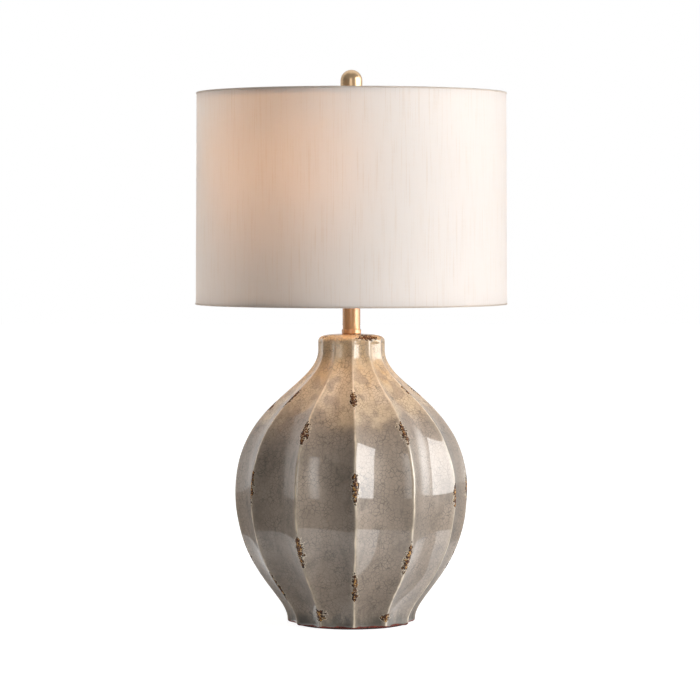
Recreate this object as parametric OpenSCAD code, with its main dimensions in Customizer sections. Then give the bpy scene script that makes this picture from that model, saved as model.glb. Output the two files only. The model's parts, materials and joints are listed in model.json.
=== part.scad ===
// Table lamp: ribbed ceramic body, brass neck and finial, harp and fabric drum shade.
// Millimetres, +Z up, front towards -Y, origin at the centre of the foot's resting plane.

/* [Ceramic body] */
// Height of the ceramic from its foot to its top
body_h = 376.3; // [350:0.1:400]
// Number of ribs round the body
rib_count = 12; // [8:1:16]
// Turn of the front rib away from the front centre, degrees
rib_turn = 2; // [0:0.5:15]
// How far the middle of a panel sinks behind the straight line between two ribs at the belly
flute_sink = 8.5; // [2:0.5:12]
// Radius over the ribs at the foot
foot_r = 84.5; // [78:0.5:95]
// Rounding under the edge of the foot
foot_round = 4; // [2:0.5:6]
// Length of the upright sweep that starts the side at the foot
foot_sweep = 36; // [25:1:45]
// How far that sweep leans inwards
foot_lean = 1; // [0:0.1:6]
// Radius over the ribs at the belly
belly_r = 152.4; // [140:0.1:165]
// Height of the belly above the foot
belly_z = 171; // [160:1:185]
// Length of the upright sweep below the belly
belly_fall = 104; // [90:1:120]
// Length of the upright sweep above the belly
belly_climb = 118; // [95:1:125]
// Radius over the ribs at the neck
neck_r = 44.6; // [40:0.1:50]
// Height of the upright neck with its rounded edge
neck_h = 20.5; // [15:0.1:30]
// Length of the upright sweep below the neck
neck_sweep = 50; // [35:1:60]
// Height of the rounded edge round the top
rim_h = 12; // [8:0.5:14]
// How far below the top that rounded edge turns inwards
rim_drop = 4; // [1:0.5:7]
// Radius of the flat seat in the middle of the top
seat_r = 14; // [13.5:0.5:18]
// Wall of the hollow body, behind the middle of a panel
body_wall = 7; // [5:0.5:9]
// Wall of the ring under the foot, behind the middle of a panel
foot_wall = 10.8; // [9:0.1:18]
// Depth of the recess under the foot
recess_h = 18; // [17:0.5:22]
// Thickness of the floor over that recess
floor_t = 8; // [6:0.5:12]
// Thickness of the ceramic under the seat at the top
crown_t = 9; // [7:0.5:12]

/* [Foot and threaded pipe] */
// Thickness of the felt ring
felt_t = 1.5; // [1:0.1:3]
// Set-back of the felt from both edges of the foot ring
felt_inset = 1; // [0.5:0.5:2]
// Outer radius of the threaded pipe
pipe_r = 4.9; // [4.6:0.1:5.2]
// Wall of the threaded pipe
pipe_wall = 1.4; // [1:0.1:1.6]
// Clearance between the pipe and each ring that it passes
pipe_gap = 0.1; // [0.05:0.01:0.15]
// Room between the pipe and the holes in the ceramic
pipe_hole_gap = 1.6; // [1:0.1:2]
// Length of pipe that stands out below the base nut
pipe_tail = 2.5; // [1.5:0.1:3]
// Radius of the steel washer under the floor
washer_r = 19; // [15:0.5:24]
// Thickness of that washer
washer_t = 1.6; // [1:0.1:2]
// Thickness of the rubber seat above it
seat_pad_t = 2; // [1:0.1:2.5]
// Thickness of the spring washer
lock_t = 1.4; // [1:0.1:1.6]
// Height of the base nut
nut_h = 4.5; // [4:0.1:5]
// Width of the base nut across its flats
nut_af = 16; // [14:0.1:18]

/* [Cord hole] */
// Height of the cord hole above the foot
cord_z = 9.5; // [9:0.1:10.5]
// Which panel holds the cord hole, counted from the front rib
cord_panel = 5; // [3:1:6]
// Radius of the cord that the grommet is made for
cord_r = 3.2; // [2.8:0.1:3.4]
// Thickness of the grommet's rubber round the cord
grommet_wall = 1.7; // [1.2:0.1:2]
// Clearance between the grommet and the hole
grommet_gap = 0.1; // [0.05:0.01:0.2]
// How far the grommet's flanges stand out past its barrel
flange_out = 2; // [1.5:0.1:2.4]
// Thickness of the grommet's flanges
flange_t = 1.5; // [1:0.1:2]
// Depth of the flat cut for the outer flange, at the middle of the panel
spot_depth = 1.8; // [1.5:0.1:2.5]

/* [Brass neck] */
// Thickness of the soft washer under the collar
neck_seat_t = 0.5; // [0.3:0.1:1]
// Outer radius of the collar
collar_r = 12.8; // [12.6:0.1:13.4]
// Height of the collar
collar_h = 5.4; // [4.5:0.1:8]
// Thickness of the collar's floor under the tube
collar_floor = 2; // [1.5:0.1:3]
// Outer radius of the neck tube
tube_r = 11.6; // [10.6:0.1:12]
// Wall of the neck tube
tube_wall = 1; // [0.8:0.1:1.5]
// Length of the neck tube
tube_len = 104; // [90:1:120]
// Clearance between the tube and the pieces that it fits
tube_gap = 0.1; // [0.05:0.01:0.15]
// Thickness of the cap on the tube
cap_t = 2.5; // [2:0.1:4]
// Depth of the cap's plug in the tube
cap_plug = 4; // [2:0.5:8]
// How far the cap stands out past the tube
cap_lip = 0.6; // [0.3:0.1:1]

/* [Harp] */
// Height of the shade's seat above the saddle
harp_h = 188.2; // [180:0.1:215]
// Greatest distance between the centres of the harp's wires
harp_wide = 108; // [96:1:120]
// Distance between the centres of its legs at the saddle
leg_gap = 54; // [48:1:60]
// Diameter of the harp's wire
harp_wire = 3.2; // [2.8:0.1:3.6]
// Slope of the wires where the harp widens, degrees from upright
harp_slope = 35; // [25:1:40]
// Radius of the lower bends
harp_low_bend = 20; // [14:1:24]
// Radius of the bends below the widest part
harp_wide_bend = 60; // [40:1:64]
// Thickness of the saddle's strip
saddle_t = 2; // [1.5:0.1:3]
// Width of the saddle's strip
saddle_w = 12; // [10.5:0.5:16]
// Height of the shoulder that each sleeve rests on
shoulder_h = 4; // [3:0.5:6]
// Height of the saddle's pin inside each sleeve
saddle_pin = 8; // [6:0.5:10]
// Length of each sleeve
sleeve_len = 16; // [14:0.5:20]
// Wall of each sleeve
sleeve_wall = 1.6; // [1:0.1:2]
// How far a sleeve slides up to free its leg
sleeve_travel = 12; // [11:0.5:14]
// Clearance between a sleeve and its leg
sleeve_gap = 0.06; // [0.03:0.01:0.1]
// Thickness of the nut that holds the saddle down
saddle_nut_h = 3; // [2:0.1:4]
// Width of that nut across its flats
saddle_nut_af = 14; // [12.5:0.1:16]
// Radius of the eye at the top of the harp
eye_r = 7; // [6.5:0.1:9]
// Height of that eye
eye_h = 5.5; // [4.5:0.1:7]
// Radius of the rivet through the eye
rivet_r = 2.5; // [2:0.1:3]
// Radius of the shoulder that carries the shade
stud_seat_r = 6.5; // [5.5:0.1:8]
// Thickness of that shoulder
stud_seat_t = 2; // [1.5:0.1:3]
// Radius of the threaded stud
stud_r = 3.1; // [2.9:0.1:3.3]
// Length of the stud above its shoulder
stud_len = 13; // [12:0.5:15]
// Running clearance round the stud
stud_gap = 0.08; // [0.05:0.01:0.1]

/* [Socket] */
// Radius of the neck of the socket's cap
cap_neck_r = 7.8; // [7:0.1:9]
// Height of that neck
cap_neck_h = 6; // [5:0.5:8]
// Height of the cap's flare
cap_flare_h = 8; // [6:0.5:12]
// Height of the cap's rim above the flare
cap_rim_h = 5; // [4:0.5:6]
// Wall of the brass cap and shell
socket_wall = 0.8; // [0.6:0.1:1]
// Outer radius of the brass shell
socket_r = 16.1; // [16:0.1:18]
// Height of the brass shell
socket_h = 42.5; // [42:0.5:46]
// Thickness of the card sleeve inside the shell
card_t = 0.7; // [0.5:0.1:0.8]
// Clearance between the pieces nested in the socket
nest_gap = 0.1; // [0.05:0.01:0.15]
// Height of the moulded block
block_h = 16.5; // [16:0.5:18]
// Height of the socket's screw shell
screw_shell_h = 22; // [20:0.5:23]
// Wall of the socket's screw shell
screw_shell_wall = 0.4; // [0.3:0.1:0.5]
// Height of the switch shaft above the bottom of the block
switch_z = 10.2; // [9.6:0.1:11]
// Radius of the switch shaft
shaft_r = 2; // [1.5:0.1:2.2]
// Clearance round the shaft in the block
shaft_gap = 0.05; // [0.03:0.01:0.1]
// Radius of the hole for the shaft in the shell
shaft_hole_r = 3; // [2.6:0.1:3.2]
// Length of shaft inside the block
shaft_in = 10; // [6:0.5:11]
// Radius of the knob
knob_r = 5.2; // [4.5:0.1:7]
// Length of the knob
knob_len = 15; // [12:0.5:20]
// Gap between the knob and the shell
knob_gap = 2; // [1.5:0.1:4]
// Depth of the shaft's hole in the knob
knob_bore = 9; // [6:0.5:10]

/* [Bulb] */
// Radius of the bulb's screw base
bulb_base_r = 13.05; // [12.8:0.01:13.2]
// Running clearance between the base and the screw shell
bulb_gap = 0.08; // [0.05:0.01:0.1]
// Height of the screw base
bulb_base_h = 22; // [21:0.5:24]
// Radius of the bulb's globe
bulb_r = 30; // [28:0.5:34]
// Length of the whole bulb
bulb_len = 110; // [104:0.5:118]
// Wall of the glass
glass_t = 1; // [0.8:0.1:1.5]

/* [Shade] */
// Diameter of the shade at its bottom edge
shade_bottom_d = 406.4; // [380:0.1:430]
// Diameter of the shade at its top edge
shade_top_d = 403.2; // [375:0.1:430]
// Height of the shade
shade_h = 275; // [250:0.5:300]
// Thickness of the fabric
fabric_t = 0.6; // [0.4:0.1:1]
// Thickness of the stiff liner that the fabric is glued to
liner_t = 0.8; // [0.6:0.1:1.2]
// Thickness of the fabric turned in over the edges
hem_t = 0.6; // [0.4:0.1:1]
// Depth of the turned-in fabric
hem_depth = 10; // [7:0.5:15]
// Diameter of the shade's wire rings
shade_wire = 3; // [2.8:0.1:4]
// Diameter of the spider's arms
arm_wire = 2.6; // [2:0.1:2.6]
// Gap between a ring and the pieces round it
ring_gap = 0.1; // [0.05:0.01:0.2]
// Depth of the spider's hub below the shade's top edge
spider_recess = 12.4; // [11:0.1:20]
// Number of arms on the spider
arm_count = 3; // [3:1:4]
// Direction of the first arm, degrees from +X
arm_start = 90; // [0:5:115]
// Radius of the spider's hub
hub_r = 13; // [11:0.5:18]
// Thickness of the spider's hub
hub_t = 2; // [1.5:0.1:3]
// Radius of the bend near the end of each arm
arm_bend = 10; // [6:1:12]
// Angle of that bend, degrees
arm_rise = 50; // [40:1:60]
// Width of the notch in the turned-in fabric at each arm
notch_w = 6; // [5:0.5:9]

/* [Finial] */
// Diameter of the finial
finial_d = 28.4; // [24:0.1:32]
// Height of the finial from its flange to its tip
finial_h = 41.8; // [38:0.1:50]
// Gap between the finial and the hub when the shade is free to turn
finial_lift = 0.3; // [0.1:0.1:0.5]
// Radius of the finial's flange
finial_flange_r = 9; // [8.5:0.1:11]
// Thickness of that flange
finial_flange_t = 3; // [2:0.1:4]
// Radius of the threaded ferrule
ferrule_r = 6.5; // [5.5:0.1:7]
// Height of the ferrule inside the knob
ferrule_h = 6; // [5:0.1:7]
// Height over which the foot of the knob swells to its full width
finial_swell_h = 7; // [5:0.5:9]
// How much the foot of the knob draws in
finial_draw = 2.4; // [1:0.1:4]

/* [Hidden] */
$fn = 96;

// A hair by which cuts run past the faces that they open
over = 1;

// Curves: a point on a cubic sweep between two ends, and points along an arc
function sweep_at(a, b, c, d, t) =
  pow(1 - t, 3) * a + 3 * pow(1 - t, 2) * t * b + 3 * (1 - t) * t * t * c + pow(t, 3) * d;
function sweep(a, b, c, d, steps) = [for (i = [1:steps]) sweep_at(a, b, c, d, i / steps)];
function arc(centre, r, from, to, steps) =
  [for (i = [0:steps]) let (a = from + (to - from) * i / steps) centre + r * [cos(a), sin(a)]];

// Heights up the middle of the lamp
foot_z = felt_t;
body_top = foot_z + body_h;
floor_under = foot_z + recess_h;
floor_top = floor_under + floor_t;
crown_under = body_top - crown_t;
collar_z = body_top + neck_seat_t;
tube_z = collar_z + collar_floor;
tube_top = tube_z + tube_len;
saddle_z = tube_top + cap_t;
saddle_top = saddle_z + saddle_t;
socket_z = saddle_top + saddle_nut_h;
hub_z = saddle_top + harp_h;
hub_top = hub_z + hub_t;
shade_top = hub_top + spider_recess;
shade_bottom = shade_top - shade_h;

// Outline of the ribs: rounded foot, side up to the belly, side up to the neck, rounded top
rib_step = 360 / rib_count;
half_step = rib_step / 2;
foot_arc = arc([foot_r - foot_round, foot_z + foot_round], foot_round, -90, 0, 3);
foot_end = [foot_r, foot_z + foot_round];
belly = [belly_r, foot_z + belly_z];
neck_low = [neck_r, body_top - neck_h];
neck_high = [neck_r, body_top - rim_h];
low_side = sweep(foot_end, foot_end + [-foot_lean, foot_sweep - foot_round],
  belly - [0, belly_fall], belly, 16);
high_side = sweep(belly, belly + [0, belly_climb], neck_low - [0, neck_sweep], neck_low, 16);
rim_reach = (neck_r - seat_r) / 8;
rim_curve = sweep(neck_high, [neck_r, body_top - rim_drop], [neck_r - rim_reach, body_top],
  [seat_r, body_top], 7);
side = concat(foot_arc, low_side, high_side, [neck_high]);
outline = concat(side, rim_curve);
side_table = [for (p = side) [p[1], p[0]]];

// Radius over the ribs at a height, and radius of the middle of a panel for a rib radius
function rib_at(z) = lookup(z, side_table);
function sink_at(r) = flute_sink * r / belly_r;
function panel_mid(r) = r * cos(half_step) - sink_at(r);
// Radius at an angle from a panel's middle: the straight line between two ribs, sunk in an arc
function panel_at(r, a) =
  (r * cos(half_step) - sink_at(r) * (1 - pow(tan(a) / tan(half_step), 2))) / cos(a);
// The flutes are full on the side and fade out over the rounded edge round the top
function flute_share(p) = p[1] <= neck_high[1] ? 1 : (body_top - p[1]) / rim_h;

// Rings of points: every panel has the same number of steps from one rib to the next
panel_steps = 6;
ring_steps = rib_count * panel_steps;
function body_ring(p) = [
  for (i = [0:ring_steps - 1])
    let (
      a = (i % panel_steps) / panel_steps * rib_step - half_step,
      r = p[0] + (panel_at(p[0], a) - p[0]) * flute_share(p),
      turn = rib_turn + i / panel_steps * rib_step
    )
    [r * sin(turn), -r * cos(turn), p[1]]
];
body_points = concat([for (p = outline) each body_ring(p)], [[0, 0, foot_z], [0, 0, body_top]]);
ring_count = len(outline);
foot_centre = ring_count * ring_steps;
top_centre = foot_centre + 1;
function ring_point(ring, i) = ring * ring_steps + i % ring_steps;
body_faces = concat(
  [for (k = [0:ring_count - 2]) for (i = [0:ring_steps - 1])
    each [
      [ring_point(k, i), ring_point(k + 1, i), ring_point(k + 1, i + 1)],
      [ring_point(k, i), ring_point(k + 1, i + 1), ring_point(k, i + 1)]
    ]],
  [for (i = [0:ring_steps - 1]) [foot_centre, ring_point(0, i), ring_point(0, i + 1)]],
  [for (i = [0:ring_steps - 1])
    [top_centre, ring_point(ring_count - 1, i + 1), ring_point(ring_count - 1, i)]]
);

// Hollow inside the body, one wall behind the middles of the panels
hollow_steps = 22;
hollow = [
  for (i = [0:hollow_steps])
    let (z = floor_top + (crown_under - floor_top) * i / hollow_steps)
    [panel_mid(rib_at(z)) - body_wall, z]
];
recess_r = panel_mid(foot_r) - foot_wall;
pipe_hole_r = pipe_r + pipe_hole_gap;

// Stack under the floor, from the floor down
seat_pad_z = floor_under - seat_pad_t;
washer_z = seat_pad_z - washer_t;
lock_z = washer_z - lock_t;
nut_z = lock_z - nut_h;
pipe_z = nut_z - pipe_tail;
ring_in_r = pipe_r + pipe_gap;
lock_slot = 1.6;
neck_seat_set = 1;
function hex_r(af) = af / 2 / cos(30);

// Cord hole, through the middle of one rear panel
cord_turn = rib_turn + (cord_panel + 0.5) * rib_step;
cord_hole_z = foot_z + cord_z;
grommet_r = cord_r + grommet_wall;
flange_r = grommet_r + flange_out;
cord_panel_r = panel_mid(rib_at(cord_hole_z));
spot_r = cord_panel_r - spot_depth;
inner_flange_r = sqrt(pow(recess_r, 2) - pow(flange_r, 2)) - grommet_gap;

// Socket, bottom to top
flare_z = socket_z + cap_neck_h;
rim_z = flare_z + cap_flare_h;
cap_in_r = socket_r + nest_gap;
cap_out_r = cap_in_r + socket_wall;
pipe_head = 2;
pipe_top = flare_z + pipe_head;
set_screw_z = socket_z + cap_neck_h / 2;
set_screw_r = 1.5;
set_head_out = 0.8;
set_head_t = 1.5;
set_head_gap = 0.3;
driver_slot = 0.7;
shell_z = rim_z;
shell_in_r = socket_r - socket_wall;
card_r = shell_in_r - nest_gap;
card_in_r = card_r - card_t;
block_r = card_in_r - nest_gap;
card_set = 1.5;
block_z = shell_z;
block_top = block_z + block_h;
screw_in_r = bulb_base_r + bulb_gap;
switch_axis_z = block_z + switch_z;
contact_r = 4;
contact_h = 1.4;
contact_edge = 0.6;
contact_dome = 1.5;
terminal_step = 3;
terminal_flat = block_r - terminal_step;
terminal_head_t = 2;
terminal_head_r = 3;
terminal_shank_r = 1.4;
terminal_shank = 5;
terminal_room_y = terminal_head_r + 1;
terminal_roof = 2;
terminal_z = block_z + block_h / 2;
shaft_end_gap = 0.3;
knob_z0 = socket_r + knob_gap;
knob_waist = 1.2;
knob_waist_h = 2.5;
knob_edge = 1;
grip_count = 10;
groove_r = 0.8;

// Bulb, from its contact up
tip_gap = 0.2;
bulb_z = block_top + contact_h + tip_gap;
bulb_tip_h = 1.4;
bulb_tip_r = 4.4;
bulb_tip_dome = 2;
insulator_h = 4.5;
insulator_cone = 3;
bulb_thread_z = bulb_z + bulb_tip_h + insulator_h;
bulb_neck_z = bulb_thread_z + bulb_base_h - bulb_tip_h - insulator_h;
bulb_top = bulb_z + bulb_len;
globe_z = bulb_top - bulb_r;
thread_pitch = 3.6;
thread_depth = 0.8;
thread_crest = [0.1, 0.4, 0.6, 0.9];
base_wall = 0.6;
base_in_r = bulb_base_r - thread_depth - base_wall;
base_foot_in = 3;
base_foot_t = 1;
base_band_h = 2;
base_band_set = 0.2;
glass_lip = 0.6;
bulb_neck_r = bulb_base_r + glass_lip;
glass_skirt = 5;
skirt_r = base_in_r - nest_gap;
glass_lift = 0.3;
glass_neck_h = 6;
globe_start = -38;
neck_end_z = bulb_neck_z + glass_neck_h;
globe_low = [bulb_r * cos(globe_start), globe_z + bulb_r * sin(globe_start)];
flare_pull = (globe_low[1] - neck_end_z) / 2;
glass_outside = concat(
  [
    [skirt_r, bulb_neck_z - glass_skirt],
    [skirt_r, bulb_neck_z + glass_lift],
    [bulb_neck_r, bulb_neck_z + glass_lift + glass_lip],
    [bulb_neck_r, neck_end_z]
  ],
  sweep([bulb_neck_r, neck_end_z], [bulb_neck_r, neck_end_z + flare_pull],
    globe_low + flare_pull * [sin(globe_start), -cos(globe_start)], globe_low, 8),
  arc([0, globe_z], bulb_r, globe_start + 9, 90, 14)
);

// Harp, its wire followed from the saddle up
leg_x = leg_gap / 2;
wide_x = harp_wide / 2;
wire_r = harp_wire / 2;
shoulder_top = saddle_top + shoulder_h;
leg_z = shoulder_top + saddle_pin;
leg_spare = 1;
leg_straight = shoulder_top + sleeve_len + sleeve_travel + leg_spare;
low_bend_x = leg_x + harp_low_bend * (1 - cos(harp_slope));
low_bend_z = leg_straight + harp_low_bend * sin(harp_slope);
wide_bend_x = wide_x - harp_wide_bend * (1 - cos(harp_slope));
wide_bend_z = low_bend_z + (wide_bend_x - low_bend_x) / tan(harp_slope);
upright_z = wide_bend_z + harp_wide_bend * sin(harp_slope);
eye_top = hub_z - stud_seat_t;
eye_z = eye_top - eye_h;
top_wire_z = eye_z + eye_h / 2;
top_bend = wide_x - eye_r + wire_r;
top_bend_z = top_wire_z - top_bend;
sleeve_in_r = wire_r + sleeve_gap;
rivet_head_h = 1.4;
rivet_head_gap = 0.1;
rivet_head_out = 1.5;
rivet_edge = 0.5;
stud_edge = 0.6;
wire_sides = 16;
harp_right = concat(
  [[leg_x, leg_z]],
  arc([leg_x + harp_low_bend, leg_straight], harp_low_bend, 180, 180 - harp_slope, 5),
  arc([wide_x - harp_wide_bend, upright_z], harp_wide_bend, -harp_slope, 0, 6),
  arc([wide_x - top_bend, top_bend_z], top_bend, 0, 90, 14)
);
harp_left = [for (i = [len(harp_right) - 1:-1:0]) [-harp_right[i][0], harp_right[i][1]]];
harp_path = concat(harp_right, harp_left);

// Shade, its walls as cones between the two edges
bottom_r = shade_bottom_d / 2;
top_r = shade_top_d / 2;
function shade_at(z) = bottom_r + (top_r - bottom_r) * (z - shade_bottom) / shade_h;
cloth_top = shade_top - hem_t;
cloth_bottom = shade_bottom + hem_t;
skin_t = fabric_t + liner_t;
shade_wire_r = shade_wire / 2;
top_ring_z = cloth_top - shade_wire_r - ring_gap;
bottom_ring_z = cloth_bottom + shade_wire_r + ring_gap;
ring_set = skin_t + shade_wire_r + 2 * ring_gap;
top_ring_r = shade_at(top_ring_z) - ring_set;
bottom_ring_r = shade_at(bottom_ring_z) - ring_set;
hem_in = skin_t + shade_wire + 4 * ring_gap;
arm_set = 0.2;
arm_in = 2;
arm_z = hub_top - arm_set - arm_wire / 2;
arm_up = top_ring_z - arm_z;
arm_bend_up = arm_bend * (1 - cos(arm_rise));
arm_end = (arm_up - arm_bend_up) / sin(arm_rise);
arm_straight = top_ring_r - arm_end * cos(arm_rise) - arm_bend * sin(arm_rise);
arm_path = concat(
  [[hub_r - arm_in, arm_z]],
  arc([arm_straight, arm_z + arm_bend], arm_bend, -90, arm_rise - 90, 6),
  [[top_ring_r, top_ring_z]]
);

// Finial
finial_r = finial_d / 2;
finial_z = hub_top + finial_lift;
knob_z = finial_z + finial_flange_t;
finial_top = finial_z + finial_h;
stud_top = hub_z + stud_len;
flange_edge = 0.7;
finial_room = 1;

// A straight round ring: tube between two radii
module pipe_ring(outer, inner, h) {
  difference() {
    cylinder(r = outer, h = h);
    translate([0, 0, -over]) cylinder(r = inner, h = h + 2 * over);
  }
}

// A hexagonal nut with a plain bore
module hex_nut(af, bore, h) {
  difference() {
    cylinder(r = hex_r(af), h = h, $fn = 6);
    translate([0, 0, -over]) cylinder(r = bore, h = h + 2 * over);
  }
}

// A thin wall that follows the shade's slope, between two depths behind its outer face
module shade_wall(from_z, to_z, outer, inner) {
  rotate_extrude($fn = 128)
    polygon([
      [shade_at(from_z) - inner, from_z],
      [shade_at(from_z) - outer, from_z],
      [shade_at(to_z) - outer, to_z],
      [shade_at(to_z) - inner, to_z]
    ]);
}

// A wire ring lying flat
module wire_ring(ring_r, wire, z) {
  translate([0, 0, z]) rotate_extrude($fn = 128) translate([ring_r, 0]) circle(r = wire, $fn = 32);
}

// A bent wire: rings of points square to a path in the XZ plane, joined and closed at both ends
function unit(v) = v / norm(v);
function path_way(path, i) =
  i == 0 ? unit(path[1] - path[0]) :
  i == len(path) - 1 ? unit(path[i] - path[i - 1]) :
  unit(unit(path[i + 1] - path[i]) + unit(path[i] - path[i - 1]));
function path_ring(path, i, r) =
  let (way = path_way(path, i))
  [for (k = [0:wire_sides - 1])
    let (u = r * cos(k * 360 / wire_sides), v = -r * sin(k * 360 / wire_sides))
    [path[i][0] - way[1] * u, v, path[i][1] + way[0] * u]];
module bent_wire(path, r) {
  n = len(path);
  polyhedron(
    points = [for (i = [0:n - 1]) each path_ring(path, i, r)],
    faces = concat(
      [[for (k = [0:wire_sides - 1]) k]],
      [[for (k = [0:wire_sides - 1]) n * wire_sides - 1 - k]],
      [for (i = [0:n - 2]) for (k = [0:wire_sides - 1])
        let (a = i * wire_sides + k, b = i * wire_sides + (k + 1) % wire_sides)
        each [[a, a + wire_sides, b + wire_sides], [a, b + wire_sides, b]]]
    ),
    convexity = 6
  );
}

// Pieces cut or placed along the cord hole: local +Z points outwards from the lamp's axis
module along_cord_hole() {
  rotate([0, 0, cord_turn - 90])
    translate([0, 0, cord_hole_z])
      rotate([0, 90, 0])
        children();
}

module felt_ring() {
  color("#4a4744")
    pipe_ring(panel_mid(foot_r - foot_round) - felt_inset, recess_r + felt_inset, felt_t);
}

module ceramic_body() {
  color("#9a9082")
    difference() {
      polyhedron(points = body_points, faces = body_faces, convexity = 6);
      rotate_extrude()
        polygon(concat([[0, floor_top]], hollow, [[0, crown_under]]));
      translate([0, 0, foot_z - over]) cylinder(r = recess_r, h = recess_h + over);
      translate([0, 0, foot_z]) cylinder(r = pipe_hole_r, h = body_h + over);
      along_cord_hole()
        cylinder(r = grommet_r + grommet_gap, h = foot_r + 2 * foot_round);
      along_cord_hole()
        translate([0, 0, spot_r]) cylinder(r = flange_r + 2 * grommet_gap, h = foot_r);
    }
}

module cord_grommet() {
  color("#2b2a29")
    along_cord_hole()
      difference() {
        union() {
          translate([0, 0, inner_flange_r])
            cylinder(r = grommet_r, h = spot_r - inner_flange_r + flange_t);
          translate([0, 0, spot_r]) cylinder(r = flange_r, h = flange_t);
          translate([0, 0, inner_flange_r - flange_t]) cylinder(r = flange_r, h = flange_t);
        }
        cylinder(r = cord_r, h = foot_r + 2 * foot_round);
      }
}

module base_seat() {
  color("#33302d") translate([0, 0, seat_pad_z]) pipe_ring(washer_r, pipe_hole_r, seat_pad_t);
}

module base_washer() {
  color("#a9a9a4") translate([0, 0, washer_z]) pipe_ring(washer_r, ring_in_r, washer_t);
}

// Spring washer: a ring with one narrow slot
module base_lock_washer() {
  color("#8f8f8b")
    translate([0, 0, lock_z])
      difference() {
        pipe_ring(nut_af / 2, ring_in_r, lock_t);
        translate([0, -lock_slot / 2, -over]) cube([nut_af, lock_slot, lock_t + 2 * over]);
      }
}

module base_nut() {
  color("#b99a5f") translate([0, 0, nut_z]) hex_nut(nut_af, ring_in_r, nut_h);
}

module lamp_pipe() {
  color("#b4a074") translate([0, 0, pipe_z]) pipe_ring(pipe_r, pipe_r - pipe_wall, pipe_top - pipe_z);
}

module neck_seat() {
  color("#2f2c29")
    translate([0, 0, body_top])
      pipe_ring(collar_r - neck_seat_set, pipe_hole_r, neck_seat_t);
}

// Collar: a low cup that the tube stands in, with a rounded upper edge
module neck_collar() {
  edge = (collar_r - tube_r - tube_gap) / 2;
  color("#c79a6b")
    translate([0, 0, collar_z])
      rotate_extrude()
        polygon(concat(
          [[ring_in_r, 0], [collar_r, 0]],
          arc([collar_r - edge, collar_h - edge], edge, 0, 180, 6),
          [[tube_r + tube_gap, collar_floor], [ring_in_r, collar_floor]]
        ));
}

module neck_tube() {
  color("#c79a6b") translate([0, 0, tube_z]) pipe_ring(tube_r, tube_r - tube_wall, tube_len);
}

module tube_cap() {
  plug_r = tube_r - tube_wall - tube_gap;
  lip_r = tube_r + cap_lip;
  color("#c79a6b")
    translate([0, 0, tube_top])
      rotate_extrude()
        polygon([
          [ring_in_r, -cap_plug],
          [plug_r, -cap_plug],
          [plug_r, 0],
          [lip_r, 0],
          [lip_r, cap_t - cap_lip],
          [lip_r - cap_lip, cap_t],
          [ring_in_r, cap_t]
        ]);
}

// Saddle: a strip with round ends, and at each end a shoulder with an upright pin
module harp_saddle() {
  color("#c9b27c")
    difference() {
      union() {
        translate([-leg_x, -saddle_w / 2, saddle_z]) cube([2 * leg_x, saddle_w, saddle_t]);
        for (side_x = [-leg_x, leg_x]) {
          translate([side_x, 0, saddle_z]) cylinder(r = saddle_w / 2, h = saddle_t);
          translate([side_x, 0, saddle_z])
            cylinder(r = sleeve_in_r + sleeve_wall, h = saddle_t + shoulder_h);
          translate([side_x, 0, saddle_z]) cylinder(r = wire_r, h = leg_z - saddle_z);
        }
      }
      translate([0, 0, saddle_z - over]) cylinder(r = ring_in_r, h = saddle_t + 2 * over);
    }
}

module saddle_nut() {
  color("#b99a5f") translate([0, 0, saddle_top]) hex_nut(saddle_nut_af, ring_in_r, saddle_nut_h);
}

// Socket cap: a screwed neck that flares into a cup
module socket_cap() {
  color("#c9a25e")
    difference() {
      rotate_extrude()
        polygon([
          [ring_in_r, socket_z],
          [cap_neck_r, socket_z],
          [cap_neck_r, flare_z],
          [cap_out_r, rim_z],
          [cap_out_r, rim_z + cap_rim_h],
          [cap_in_r, rim_z + cap_rim_h],
          [cap_in_r, rim_z],
          [cap_in_r - socket_wall - 2 * nest_gap - card_t, rim_z],
          [cap_neck_r - socket_wall, flare_z + socket_wall],
          [ring_in_r, flare_z + socket_wall]
        ]);
      translate([0, ring_in_r - over, set_screw_z])
        rotate([-90, 0, 0]) cylinder(r = set_screw_r + shaft_gap, h = cap_neck_r);
    }
}

// Set screw: through the cap's neck to the pipe, with a slotted head outside
module cap_set_screw() {
  head_r = set_screw_r + set_head_out;
  head_z = cap_neck_r - ring_in_r + set_head_gap;
  color("#9b9b96")
    translate([0, ring_in_r, set_screw_z])
      rotate([-90, 0, 0])
        difference() {
          union() {
            cylinder(r = set_screw_r, h = head_z + set_head_t / 2);
            translate([0, 0, head_z]) cylinder(r = head_r, h = set_head_t);
          }
          translate([-head_r - over, -driver_slot / 2, head_z + set_head_t / 2])
            cube([2 * (head_r + over), driver_slot, set_head_t]);
        }
}

// Moulded block: carries the screw shell, the terminals and the switch
module socket_block() {
  color("#3a2f28")
    difference() {
      translate([0, 0, block_z]) cylinder(r = block_r, h = block_h);
      for (s = [-1, 1])
        translate([s * (terminal_flat + block_r) - block_r, -terminal_room_y, block_z - over])
          cube([2 * block_r, 2 * terminal_room_y, block_h - terminal_roof + over]);
      for (s = [-1, 1])
        translate([s * (terminal_flat - terminal_shank - over), 0, terminal_z])
          rotate([0, s * 90, 0])
            cylinder(r = terminal_shank_r + shaft_gap, h = terminal_shank + 2 * over);
      translate([0, 0, switch_axis_z])
        rotate([90, 0, 0])
          translate([0, 0, block_r - shaft_in])
            cylinder(r = shaft_r + shaft_gap, h = shaft_in + over);
    }
}

module terminal_screws() {
  color("#c8a24c")
    for (s = [-1, 1])
      translate([s * terminal_flat, 0, terminal_z])
        rotate([0, s * 90, 0])
          difference() {
            union() {
              cylinder(r = terminal_head_r, h = terminal_head_t);
              translate([0, 0, -terminal_shank])
                cylinder(r = terminal_shank_r, h = terminal_shank + terminal_head_t / 2);
            }
            translate([-terminal_head_r - over, -driver_slot / 2, terminal_head_t / 2])
              cube([2 * (terminal_head_r + over), driver_slot, terminal_head_t]);
          }
}

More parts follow.
